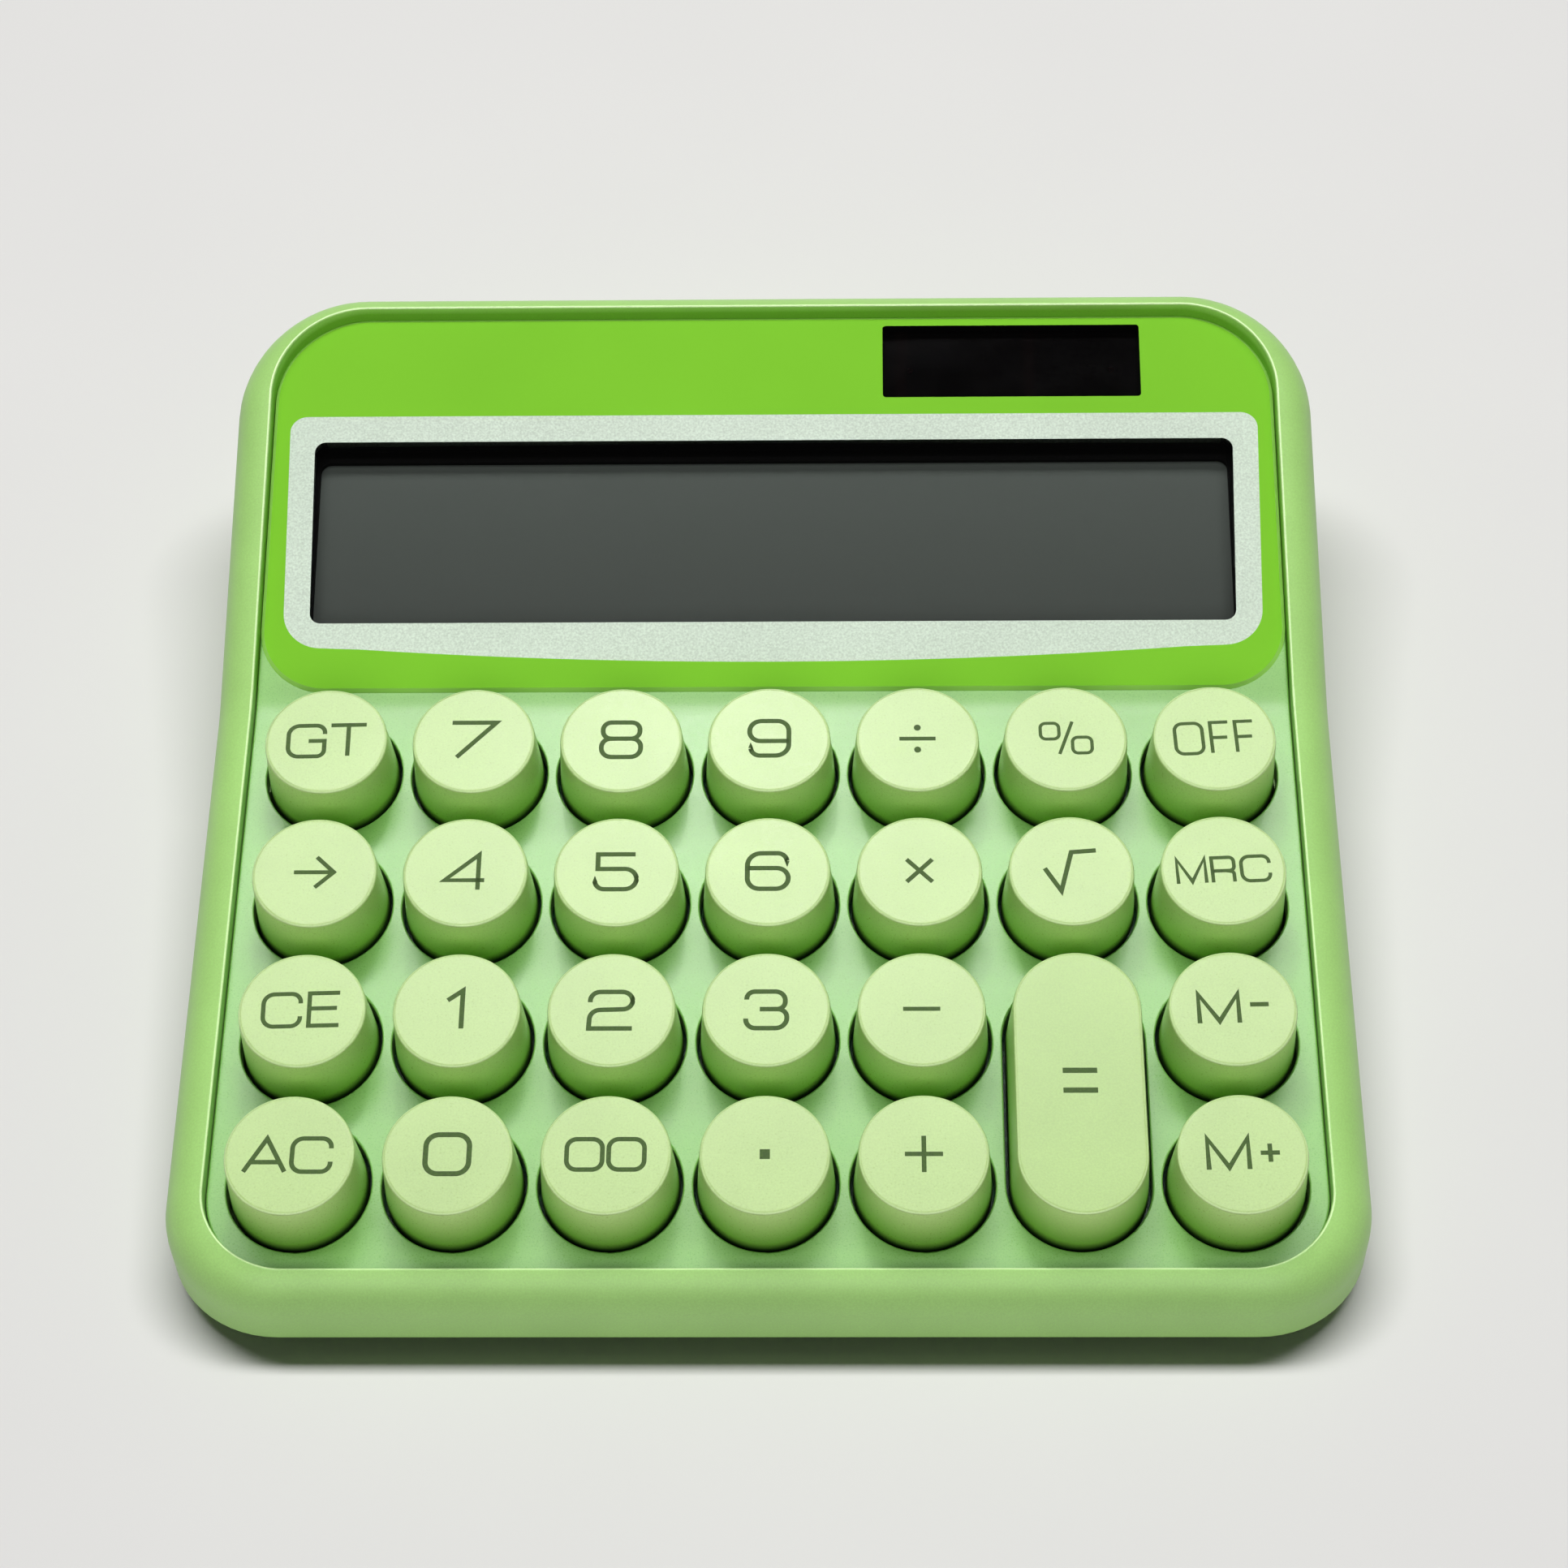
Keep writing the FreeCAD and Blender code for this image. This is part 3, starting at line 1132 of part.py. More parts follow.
def make_battery(cell_y, cell_z, room_x, roof):
    """The cell lies along X with its nub to the right, between a bent leaf and a flat contact."""
    along_x = Rotation(Vector(0, 1, 0), 90)
    start = room_x - size.contact_thick
    shoulder = start - size.nub_length
    cell_end = shoulder - size.cell_length
    cell = turned_body("cell", [
        (0.0, cell_end), (size.cell_dia / 2, cell_end), (size.cell_dia / 2, shoulder),
        (size.nub_dia / 2, shoulder), (size.nub_dia / 2, start), (0.0, start)])
    cell.Placement = Placement(Vector(), along_x)
    bind(cell, "Placement.Base.y", cell_y)
    bind(cell, "Placement.Base.z", cell_z)
    node("battery_cell", cell)

    half = size.contact_width / 2
    tab_top = roof + size.box_wall + size.contact_tab
    node("battery_contact", box("contact", case_frame, (start, room_x), (cell_y - half, cell_y + half),
                                (cell_z - half, tab_top)))
    foot = size.contact_thick - room_x
    plate = box("leaf_plate", case_frame, (-room_x, foot), (cell_y - half, cell_y + half),
                (cell_z - half, tab_top))
    node("battery_spring", fuse("battery_leaf", plate, make_leaf(foot, cell_y, cell_z)))
    make_battery_leads(cell_y, room_x, tab_top)


def make_leaf(foot, cell_y, cell_z):
    """A strip bent out from its plate towards the cell, with a flat at its tip."""
    tip = foot + size.leaf_reach
    flat = size.leaf_flat / 2
    rise = flat + size.leaf_reach * tangent(size.leaf_tilt)
    skin = size.leaf_thick / cosine(size.leaf_tilt)
    inner_tip = tip - size.leaf_thick
    inner_flat = flat + size.leaf_thick * tangent(size.leaf_tilt) - skin
    forms = []
    for name, end, low, high in (("leaf_outside", tip, rise, flat),
                                 ("leaf_inside", inner_tip, rise - skin, inner_flat)):
        sketch = new_sketch(name + "_profile")
        sketch.Placement = Placement(Vector(), Rotation(Vector(1, 0, 0), 90))
        draw_polygon(sketch, [(foot, cell_z - low), (end, cell_z - high),
                              (end, cell_z + high), (foot, cell_z + low)])
        forms.append(extrude(name, sketch, -cell_y - size.leaf_width / 2, -cell_y + size.leaf_width / 2))
    return cut("leaf", *forms)


def make_battery_leads(cell_y, room_x, tab_top):
    """Two wires that stand on the contacts' tabs and bend to meet the display board squarely."""
    tilt = math.radians(display_tilt.value)
    up, square = Vector(0, 0, 1), Vector(0, -math.sin(tilt), math.cos(tilt))
    board = frame_point(display_frame, 0.0, display_board_under)
    wires = []
    for x in (size.contact_thick / 2 - room_x, room_x - size.contact_thick / 2):
        foot = Vector(x.value, cell_y.value, tab_top.value)
        gap = (board - foot).dot(square) / square.dot(up)
        knee = foot + up * (gap / 2)
        far = (board - knee).dot(square)
        top = knee + square * far
        reach = min(gap / 2, far) / 2
        low, high = knee - up * reach, knee + square * reach
        middle = knee + (square - up) * (reach / 2 * math.tan(tilt / 4) / math.tan(tilt / 2))
        path = Part.Wire([Part.LineSegment(foot, low).toShape(), Part.Arc(low, middle, high).toShape(),
                          Part.LineSegment(high, top).toShape()])
        section = Part.Wire(Part.Circle(foot, up, size.lead_dia.value / 2).toShape())
        wires.append(path.makePipeShell([section], True, False))
    thing = doc.addObject("Part::Feature", "battery_leads")
    thing.Shape = Part.makeCompound(wires)
    return node("battery_leads", thing)


# Build, check and write

make_top_cover()
make_face_plate(below("under_deck", 0.0 * size.plate_thick), doc.getObject("under_ledge_top"))
make_display_lens()
make_keys()
make_switches()
make_key_board()
make_board_screws()
make_display()
make_board_ribbon()
make_bottom()
doc.recompute()

faults = [thing.Name for thing in doc.Objects if "Invalid" in thing.State or "Error" in thing.State]
faults += [thing.Label for thing in nodes if thing.Shape.isNull() or not thing.Shape.isValid()]
if faults:
    raise RuntimeError("these objects failed: " + ", ".join(faults))
os.makedirs("parts", exist_ok=True)
for thing in nodes:
    thing.Shape.exportStep("parts/%s.step" % thing.Label)
    print("%-20s %2d solids %10.1f mm3" % (thing.Label, len(thing.Shape.Solids), thing.Shape.Volume))
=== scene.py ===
import math

import bpy
from mathutils import Matrix, Vector
from mathutils.geometry import tessellate_polygon


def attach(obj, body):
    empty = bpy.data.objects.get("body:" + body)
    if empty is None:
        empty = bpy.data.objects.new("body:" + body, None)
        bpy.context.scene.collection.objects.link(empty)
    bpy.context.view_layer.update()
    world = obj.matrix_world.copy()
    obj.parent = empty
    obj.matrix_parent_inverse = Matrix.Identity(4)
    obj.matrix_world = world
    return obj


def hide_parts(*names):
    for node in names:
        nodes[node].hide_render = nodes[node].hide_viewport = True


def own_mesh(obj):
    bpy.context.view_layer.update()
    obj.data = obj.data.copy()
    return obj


# Looks of the desktop calculator: materials for the solids, the printed lens, the key legends, the key
# springs, the floor, the lights and the camera. Lengths are metres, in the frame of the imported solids.

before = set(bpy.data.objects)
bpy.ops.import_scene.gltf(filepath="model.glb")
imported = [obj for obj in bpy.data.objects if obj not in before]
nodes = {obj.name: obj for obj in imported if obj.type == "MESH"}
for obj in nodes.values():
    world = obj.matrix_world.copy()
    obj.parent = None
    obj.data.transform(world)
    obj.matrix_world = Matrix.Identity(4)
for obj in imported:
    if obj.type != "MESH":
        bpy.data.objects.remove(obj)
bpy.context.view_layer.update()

MM = 0.001
RIGHTWARD = Vector((1.0, 0.0, 0.0))
REARWARD = Vector((0.0, 1.0, 0.0))
UPWARD = Vector((0.0, 0.0, 1.0))

# Frames of the deck and of the display, as in the solids
DECK_TILT = math.radians(6.0)
DISPLAY_TILT = math.radians(16.0)
FRONT_Y = -76.2 * MM
DECK_FRONT_Z = 12.2 * MM
GRID_SETBACK = 47.0 * MM
BEND_SETBACK = 42.0 * MM
GRID = Vector((0.0, FRONT_Y + GRID_SETBACK, DECK_FRONT_Z + GRID_SETBACK * math.tan(DECK_TILT)))
DECK = Matrix.Translation(GRID) @ Matrix.Rotation(DECK_TILT, 4, "X")
BEND = DECK @ Vector((0.0, BEND_SETBACK, 0.0))
DISPLAY = Matrix.Translation(BEND) @ Matrix.Rotation(DISPLAY_TILT, 4, "X")
DECK_UP = DECK.to_3x3() @ UPWARD
DISPLAY_UP = DISPLAY.to_3x3() @ UPWARD

# Key grid, as in the solids
PITCH_X = 20.0 * MM
PITCH_Y = 20.5 * MM
KEY_TOP = 9.0 * MM
MIDDLE_COLUMN = 3
MIDDLE_ROW = 1.5
EQUALS_SPOT = (2 * PITCH_X, -PITCH_Y)
KEY_ROWS = (
    ("key_gt", "key_7", "key_8", "key_9", "key_divide", "key_percent", "key_off"),
    ("key_backspace", "key_4", "key_5", "key_6", "key_multiply", "key_root", "key_mrc"),
    ("key_ce", "key_1", "key_2", "key_3", "key_minus", None, "key_m_minus"),
    ("key_ac", "key_0", "key_00", "key_point", "key_plus", None, "key_m_plus"),
)


def key_spots():
    """The middle of each key in the deck's frame."""
    spots = {"key_equals": EQUALS_SPOT}
    for row, names in enumerate(KEY_ROWS):
        for column, name in enumerate(names):
            if name:
                spots[name] = ((column - MIDDLE_COLUMN) * PITCH_X, (MIDDLE_ROW - row) * PITCH_Y)
    return spots


# Colours

def linear(channel):
    """A display channel from 0 to 255 as linear light from 0 to 1."""
    share = channel / 255.0
    return share / 12.92 if share <= 0.04045 else ((share + 0.055) / 1.055) ** 2.4


def colour(red, green, blue):
    """A display colour from 0 to 255 as a linear shader colour."""
    return (linear(red), linear(green), linear(blue), 1.0)


def grey(level):
    return (level, level, level, 1.0)


def scaled(tint, factor):
    """A colour made lighter or darker, without passing white."""
    return tuple(min(1.0, channel * factor) for channel in tint[:3]) + (1.0,)


WHITE = grey(1.0)
BLACK = grey(0.0)
LIME = colour(122, 191, 50)
# Painted highlights: a paler lime on the lens's bevel and on the rim's wall, where it also stands for the
# lens's lime reflected, and pale greens on the roundings at the rim's inner edge and at the keys' tops
PALE_LIME_HIGHLIGHT = colour(164, 220, 104)
RIM_EDGE_HIGHLIGHT = colour(214, 244, 178)
KEY_EDGE_HIGHLIGHT = colour(206, 234, 166)

# Heights above the display between which the painted reflection of the lens's lime on the rim's wall
# fades, and the length behind the bend over which it sets in
LIME_REFLECTION_LOW = 0.9 * MM
LIME_REFLECTION_HIGH = 2.5 * MM
LIME_REFLECTION_START = 4.0 * MM

# Painted shade on a key's side: its colours at heights above the deck, deep in the hole and paler towards
# the top
KEY_SIDE_SHADE = (
    (-1.2 * MM, colour(8, 14, 4)),
    (-0.4 * MM, colour(44, 78, 24)),
    (1.1 * MM, colour(140, 196, 76)),
    (8.0 * MM, colour(200, 234, 145)),
)


# Materials

# Nearly all of a noise lies between these values
NOISE_LOW = 0.3
NOISE_HIGH = 0.7


def fill_ramp(node, stops):
    """Give a colour ramp its (position, colour) stops."""
    marks = node.color_ramp.elements
    marks[0].position, marks[0].color = stops[0]
    marks[1].position, marks[1].color = stops[-1]
    for position, tint in stops[1:-1]:
        marks.new(position).color = tint


class Shader:
    """A Principled material with helpers that add nodes to it."""

    def __init__(self, name):
        self.material = bpy.data.materials.new(name)
        self.material.use_nodes = True
        self.tree = self.material.node_tree
        self.base = self.tree.nodes["Principled BSDF"]
        spots = self.add("TexCoord")
        self.place = spots.outputs["Object"]
        self.facing = spots.outputs["Normal"]

    def add(self, kind):
        return self.tree.nodes.new("ShaderNode" + kind)

    def feed(self, value, socket):
        """Link an output to a socket, or give the socket a plain value."""
        if isinstance(value, bpy.types.NodeSocket):
            self.tree.links.new(value, socket)
        else:
            socket.default_value = value

    def set(self, **values):
        """Feed sockets of the Principled node, named with underscores for spaces."""
        for socket, value in values.items():
            self.feed(value, self.base.inputs[socket.replace("_", " ")])

    def noise(self, size, detail=2.0, stretch=(1.0, 1.0, 1.0)):
        """Noise with blobs of about a size in metres, stretched along the axes."""
        texture = self.add("TexNoise")
        texture.inputs["Scale"].default_value = 1.0
        texture.inputs["Detail"].default_value = detail
        scales = [1.0 / (size * part) for part in stretch]
        self.feed(self.vector("MULTIPLY", self.place, scales), texture.inputs["Vector"])
        return texture.outputs["Fac"]

    def bands(self, scale):
        """Soft bands that follow each other from left to right."""
        texture = self.add("TexWave")
        texture.wave_type = "BANDS"
        texture.bands_direction = "X"
        texture.inputs["Scale"].default_value = scale
        self.feed(self.place, texture.inputs["Vector"])
        return texture.outputs["Fac"]

    def ramp(self, factor, stops):
        """A colour ramp over a factor, from (position, colour) stops."""
        node = self.add("ValToRGB")
        fill_ramp(node, stops)
        self.feed(factor, node.inputs["Fac"])
        return node.outputs["Color"]

    def tones(self, noise, tint, low, high):
        """A tint that a noise takes from a low to a high share of itself."""
        return self.ramp(noise, [(NOISE_LOW, scaled(tint, low)), (NOISE_HIGH, scaled(tint, high))])

    def dapple(self, tone, noise, shade, low=NOISE_LOW, high=NOISE_HIGH):
        """A tone multiplied by a shade where a noise is low."""
        return self.blend(1.0, tone, self.ramp(noise, [(low, shade), (high, WHITE)]), "MULTIPLY")

    def spread(self, factor, low, high, start=NOISE_LOW, stop=NOISE_HIGH):
        """Map a factor between start and stop to a value between low and high."""
        node = self.add("MapRange")
        node.inputs["From Min"].default_value = start
        node.inputs["From Max"].default_value = stop
        node.inputs["To Min"].default_value = low
        node.inputs["To Max"].default_value = high
        self.feed(factor, node.inputs["Value"])
        return node.outputs["Result"]

    def along(self, axis, start, stop):
        """The position along an axis, as 0 at start and 1 at stop."""
        return self.spread(self.vector("DOT_PRODUCT", self.place, axis), 0.0, 1.0, start, stop)

    def blend(self, factor, first, second, kind="MIX"):
        """Mix two colours, each an output or a plain colour."""
        node = self.add("Mix")
        node.data_type = "RGBA"
        node.blend_type = kind
        self.feed(factor, node.inputs[0])
        self.feed(first, node.inputs[6])
        self.feed(second, node.inputs[7])
        return node.outputs[2]

    def vector(self, operation, first, second):
        """A vector operation on an output and an output or a plain vector."""
        node = self.add("VectorMath")
        node.operation = operation
        self.feed(first, node.inputs[0])
        self.feed(second, node.inputs[1])
        return node.outputs["Value" if operation == "DOT_PRODUCT" else "Vector"]

    def maths(self, operation, first, second=0.0):
        node = self.add("Math")
        node.operation = operation
        self.feed(first, node.inputs[0])
        self.feed(second, node.inputs[1])
        return node.outputs["Value"]

    def inward(self):
        """1 on walls that face the middle of the case, 0 on level faces, less on the outer walls."""
        split = self.add("SeparateXYZ")
        self.feed(self.place, split.inputs["Vector"])
        reach = self.maths("MAXIMUM", self.maths("ABSOLUTE", split.outputs["X"]),
                           self.maths("ABSOLUTE", split.outputs["Y"]))
        flat = self.vector("MULTIPLY", self.place, (-1.0, -1.0, 0.0))
        return self.maths("DIVIDE", self.vector("DOT_PRODUCT", flat, self.facing), reach)

    def bump(self, height, depth):
        node = self.add("Bump")
        node.inputs["Strength"].default_value = 1.0
        node.inputs["Distance"].default_value = depth
        self.feed(height, node.inputs["Height"])
        self.set(Normal=node.outputs["Normal"])


def moulded(name, tint, roughness=0.42, grain=0.25 * MM, depth=0.006 * MM, specular=0.5, painted_light=None):
    """Moulded plastic: a fine spark-eroded grain, slow colour drift and uneven gloss, with light and shade
    painted in by the given function if there is one.
    """
    drift = 0.04
    swing = 0.06
    shader = Shader(name)
    fine = shader.noise(grain, 2.0)
    tone = shader.tones(shader.noise(14.0 * MM, 3.0), tint, 1.0 - drift, 1.0 + drift)
    # Painted light and shade, where a part has them
    if painted_light:
        tone = painted_light(shader, tone)
    shader.set(Base_Color=shader.dapple(tone, fine, grey(0.9)),
               Roughness=shader.spread(fine, roughness - swing, roughness + swing),
               Specular_IOR_Level=specular)
    shader.bump(fine, depth)
    return shader.material


def rim_painted_light(shader, tone):
    """Painted highlight along the rim's inner edge, and on the wall under it a painted reflection of the
    lens's lime, darker lower down as painted shade.
    """
    inward = shader.inward()
    # Painted highlight on the rounding at the rim's inner edge
    edge = shader.ramp(inward, [(0.04, BLACK), (0.2, WHITE), (0.75, WHITE), (0.92, BLACK)])
    pale = shader.blend(edge, tone, RIM_EDGE_HIGHLIGHT)
    # Painted reflection of the lens's lime on the rim's wall around the display, darkest at its foot as
    # painted shade
    level = DISPLAY_UP.dot(BEND)
    height = shader.along(DISPLAY_UP, level + LIME_REFLECTION_LOW, level + LIME_REFLECTION_HIGH)
    lime = shader.ramp(height, [(0.0, LIME), (0.5, PALE_LIME_HIGHLIGHT)])
    wall = shader.ramp(inward, [(0.8, BLACK), (0.97, WHITE)])
    lime_reflection_mask = shader.blend(1.0, wall, shader.ramp(height, [(0.6, WHITE), (1.0, BLACK)]), "MULTIPLY")
    beside = shader.along(REARWARD, BEND.y, BEND.y + LIME_REFLECTION_START)
    return shader.blend(shader.blend(1.0, lime_reflection_mask, beside, "MULTIPLY"), pale, lime)


def key_painted_light(shader, tone):
    """Painted shade on a key's side, deepening towards its hole, and a painted highlight on the rounding at
    its top.
    """
    lowest = KEY_SIDE_SHADE[0][0]
    rise = shader.along(DECK_UP, DECK_UP.dot(GRID) + lowest, DECK_UP.dot(GRID) + KEY_TOP)
    # Painted shade on the key's sides, deep in the hole and paler towards the top
    side = shader.ramp(rise, [((height - lowest) / (KEY_TOP - lowest), tint) for height, tint in KEY_SIDE_SHADE])
    level = shader.vector("DOT_PRODUCT", shader.facing, DECK_UP)
    tone = shader.blend(shader.ramp(level, [(0.25, WHITE), (0.5, BLACK)]), tone, side)
    # Painted highlight on the rounding between the top and the sides
    edge = shader.ramp(level, [(0.5, BLACK), (0.65, WHITE), (0.88, WHITE), (0.98, BLACK)])
    return shader.blend(edge, tone, KEY_EDGE_HIGHLIGHT)


def metal(name, tint, roughness, brush=(1.0, 1.0, 8.0)):
    """Bare metal with drawn or brushed streaks."""
    shader = Shader(name)
    streak = shader.noise(0.15 * MM, 3.0, brush)
    shader.set(Base_Color=shader.tones(streak, tint, 0.8, 1.08),
               Roughness=shader.spread(streak, roughness - 0.08, roughness + 0.1), Metallic=1.0)
    shader.bump(streak, 0.004 * MM)
    return shader.material


def pearl_deck():
    """Pearl paint: fine bright flakes in a pale green lacquer."""
    shader = Shader("pearl_deck")
    flake = shader.noise(0.22 * MM, 2.0)
    tone = shader.tones(shader.noise(9.0 * MM, 2.0), colour(126, 184, 86), 0.95, 1.04)
    shader.set(Base_Color=shader.dapple(tone, flake, (0.86, 0.89, 0.86, 1.0), 0.32, 0.72),
               Roughness=shader.spread(flake, 0.26, 0.36), Specular_IOR_Level=0.55)
    shader.bump(flake, 0.008 * MM)
    return shader.material


def lens_lime(name, tint):
    """Acrylic printed lime green behind its polished face."""
    shader = Shader(name)
    dust = shader.noise(0.5 * MM, 1.0)
    shader.set(Base_Color=shader.tones(shader.noise(30.0 * MM, 2.0), tint, 0.97, 1.03),
               Roughness=shader.spread(dust, 0.03, 0.06, 0.4, 0.75), Specular_IOR_Level=0.5)
    return shader.material


def lens_silver():
    """Silver print with metal flakes, under the same polished face."""
    shader = Shader("lens_silver")
    flake = shader.noise(0.3 * MM, 2.0)
    tone = shader.tones(shader.noise(20.0 * MM, 2.0), colour(213, 227, 211), 0.96, 1.03)
    shader.set(Base_Color=shader.dapple(tone, flake, grey(0.76)),
               Roughness=shader.spread(flake, 0.05, 0.09), Specular_IOR_Level=0.5)
    return shader.material


def lens_clear():
    """Clear acrylic, a little smoked, over the display and the solar cell."""
    shader = Shader("lens_clear")
    dust = shader.noise(0.6 * MM, 1.0)
    shader.set(Base_Color=grey(0.002), Alpha=0.2, Roughness=shader.spread(dust, 0.03, 0.08, 0.5, 0.8))
    return shader.material


LCD_FRONT_Y = 22.0 * MM
LCD_REAR_Y = 54.0 * MM


def lcd_glass():
    """The polariser of a blank display: dark grey, a little greener and darker towards the front."""
    shader = Shader("lcd_glass")
    fade = shader.along(REARWARD, LCD_FRONT_Y, LCD_REAR_Y)
    cloud = shader.noise(12.0 * MM, 3.0)
    tone = shader.ramp(fade, [(0.0, colour(92, 98, 92)), (1.0, colour(112, 120, 114))])
    shader.set(Base_Color=shader.dapple(tone, cloud, grey(0.97)),
               Roughness=shader.spread(cloud, 0.38, 0.5), Specular_IOR_Level=0.1)
    return shader.material


def solar_glass():
    """An amorphous solar cell: near black, with thin strips between its cells."""
    shader = Shader("solar_glass")
    cloud = shader.noise(5.0 * MM, 2.0)
    cells = shader.ramp(shader.bands(17.0), [(0.0, colour(18, 9, 10)), (0.03, colour(6, 4, 5))])
    shader.set(Base_Color=shader.dapple(cells, cloud, grey(0.8)),
               Roughness=shader.spread(cloud, 0.1, 0.14), Specular_IOR_Level=0.2)
    return shader.material


def circuit_board():
    """Green solder resist with the shine of copper runs under it."""
    shader = Shader("circuit_board")
    runs = shader.add("TexBrick")
    runs.inputs["Color1"].default_value = colour(30, 92, 52)
    runs.inputs["Color2"].default_value = colour(36, 104, 58)
    runs.inputs["Mortar"].default_value = colour(52, 132, 70)
    runs.inputs["Scale"].default_value = 60.0
    shader.feed(shader.place, runs.inputs["Vector"])
    shader.set(Base_Color=runs.outputs["Color"], Roughness=shader.spread(shader.noise(0.8 * MM), 0.25, 0.4))
    return shader.material


def striped_rubber():
    """Elastomer connector: conducting and insulating layers in turn."""
    shader = Shader("striped_rubber")
    layers = shader.ramp(shader.bands(600.0), [(0.4, colour(40, 40, 42)), (0.6, colour(150, 150, 150))])
    shader.set(Base_Color=layers, Roughness=0.7)
    return shader.material


CELL_LEFT = -20.0 * MM
CELL_RIGHT = 24.0 * MM


def cell_jacket():
    """Shrink sleeve of a plain battery cell: a dark body with a copper band at its positive end."""
    shader = Shader("cell_jacket")
    dark = colour(38, 40, 46)
    bands = shader.ramp(shader.along(RIGHTWARD, CELL_LEFT, CELL_RIGHT), [
        (0.0, dark), (0.72, dark), (0.74, colour(176, 112, 60)), (1.0, colour(190, 126, 70))])
    shader.set(Base_Color=bands, Roughness=shader.spread(shader.noise(1.5 * MM), 0.2, 0.32))
    return shader.material


def ink():
    """Pad-printed legend ink, slightly patchy."""
    shader = Shader("legend_ink")
    patch = shader.noise(0.35 * MM, 2.0)
    tone = shader.ramp(patch, [(NOISE_LOW, colour(60, 84, 36)), (NOISE_HIGH, colour(73, 100, 44))])
    shader.set(Base_Color=tone, Roughness=shader.spread(patch, 0.55, 0.7), Specular_IOR_Level=0.25)
    return shader.material


def floor_paper():
    """The pale table that the calculator stands on."""
    shader = Shader("floor_paper")
    tone = shader.tones(shader.noise(60.0 * MM, 2.0), colour(234, 233, 231), 0.985, 1.0)
    shader.set(Base_Color=tone, Roughness=0.5, Specular_IOR_Level=0.3)
    return shader.material


def dress_nodes():
    """Give every solid its material; a node without one of its own is a round key."""
    case = moulded("case_green", colour(166, 214, 122), roughness=0.42, painted_light=rim_painted_light)
    base = moulded("base_green", colour(146, 190, 108), roughness=0.5, grain=0.4 * MM, depth=0.012 * MM)
    key = moulded("key_cream", colour(169, 200, 119), roughness=0.33, specular=0.55, painted_light=key_painted_light)
    key_long = moulded("key_green", colour(160, 194, 106), roughness=0.34, specular=0.55, painted_light=key_painted_light)
    black = moulded("black_plastic", colour(4, 4, 4), roughness=0.6, specular=0.1)
    white = moulded("white_plastic", colour(226, 226, 220), roughness=0.4)
    epoxy = moulded("black_epoxy", colour(20, 20, 22), roughness=0.22, grain=1.2 * MM, depth=0.03 * MM)
    rubber = moulded("foot_rubber", colour(26, 26, 26), roughness=0.75, grain=0.5 * MM, depth=0.02 * MM)
    wire = moulded("wire_jacket", colour(170, 40, 34), roughness=0.4)
    steel = metal("spring_steel", colour(200, 200, 196), 0.28)
    zinc = metal("screw_steel", colour(170, 170, 172), 0.35, (4.0, 4.0, 1.0))
    can = metal("can_aluminium", colour(214, 214, 218), 0.3)
    board = circuit_board()
    looks = {
        "top_cover": case, "bottom_cover": base, "battery_door": base, "face_plate": pearl_deck(),
        "display_lens": lens_lime("lens_lime", LIME), "lcd_panel": lcd_glass(), "lcd_holder": black,
        "switch_housings": black, "equals_guides": white, "lcd_contact_strip": striped_rubber(),
        "display_board": board, "key_board": board, "controller_chip": epoxy, "capacitor": can,
        "solar_cell": solar_glass(), "solar_leads": wire, "battery_leads": wire, "board_ribbon": white,
        "key_springs": steel, "battery_spring": steel, "battery_contact": steel,
        "battery_cell": cell_jacket(), "rubber_feet": rubber, "case_screws": zinc, "board_screws": zinc,
        "display_screws": zinc, "key_equals": key_long,
    }
    for name, thing in nodes.items():
        thing.material_slots[0].material = looks.get(name, key)


def look_of(node):
    return nodes[node].material_slots[0].material


# Meshes

ARC_STEPS = 12


def new_piece(name, vertices, faces, materials, body):
    mesh = bpy.data.meshes.new(name)
    mesh.from_pydata(vertices, [], faces)
    mesh.validate()
    mesh.update()
    for material in materials:
        mesh.materials.append(material)
    thing = bpy.data.objects.new(name, mesh)
    bpy.context.scene.collection.objects.link(thing)
    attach(thing, body)
    return thing


def rounded_corner(before, corner, after, steps):
    """Points that round an (x, y, radius) corner, from the side before it to the side after it."""
    here = Vector(corner[:2])
    radius = corner[2]
    if radius <= 0.0:
        return [here]
    back = (Vector(before[:2]) - here).normalized()
    onward = (Vector(after[:2]) - here).normalized()
    half = math.acos(max(-1.0, min(1.0, back.dot(onward)))) / 2
    middle = here + (back + onward).normalized() * (radius / math.sin(half))
    start = here + back * (radius / math.tan(half)) - middle
    turn = 1.0 if back.x * onward.y - back.y * onward.x < 0 else -1.0
    sweep = turn * (math.pi - 2 * half)
    arc = []
    for step in range(steps + 1):
        angle = sweep * step / steps
        cosine, sine = math.cos(angle), math.sin(angle)
        arc.append(middle + Vector((start.x * cosine - start.y * sine, start.x * sine + start.y * cosine)))
    return arc


def rounded_loop(corners, steps=ARC_STEPS):
    """Points round a closed outline of (x, y, radius) corners."""
    points = []
    for index, corner in enumerate(corners):
        after = corners[(index + 1) % len(corners)]
        points += rounded_corner(corners[index - 1], corner, after, steps)
    return points


def rounded_path(corners, steps=ARC_STEPS):
    """Points along an open path of (x, y, radius) corners."""
    points = [Vector(corners[0][:2])]
    for before, corner, after in zip(corners, corners[1:], corners[2:]):
        points += rounded_corner(before, corner, after, steps)
    return points + [Vector(corners[-1][:2])]


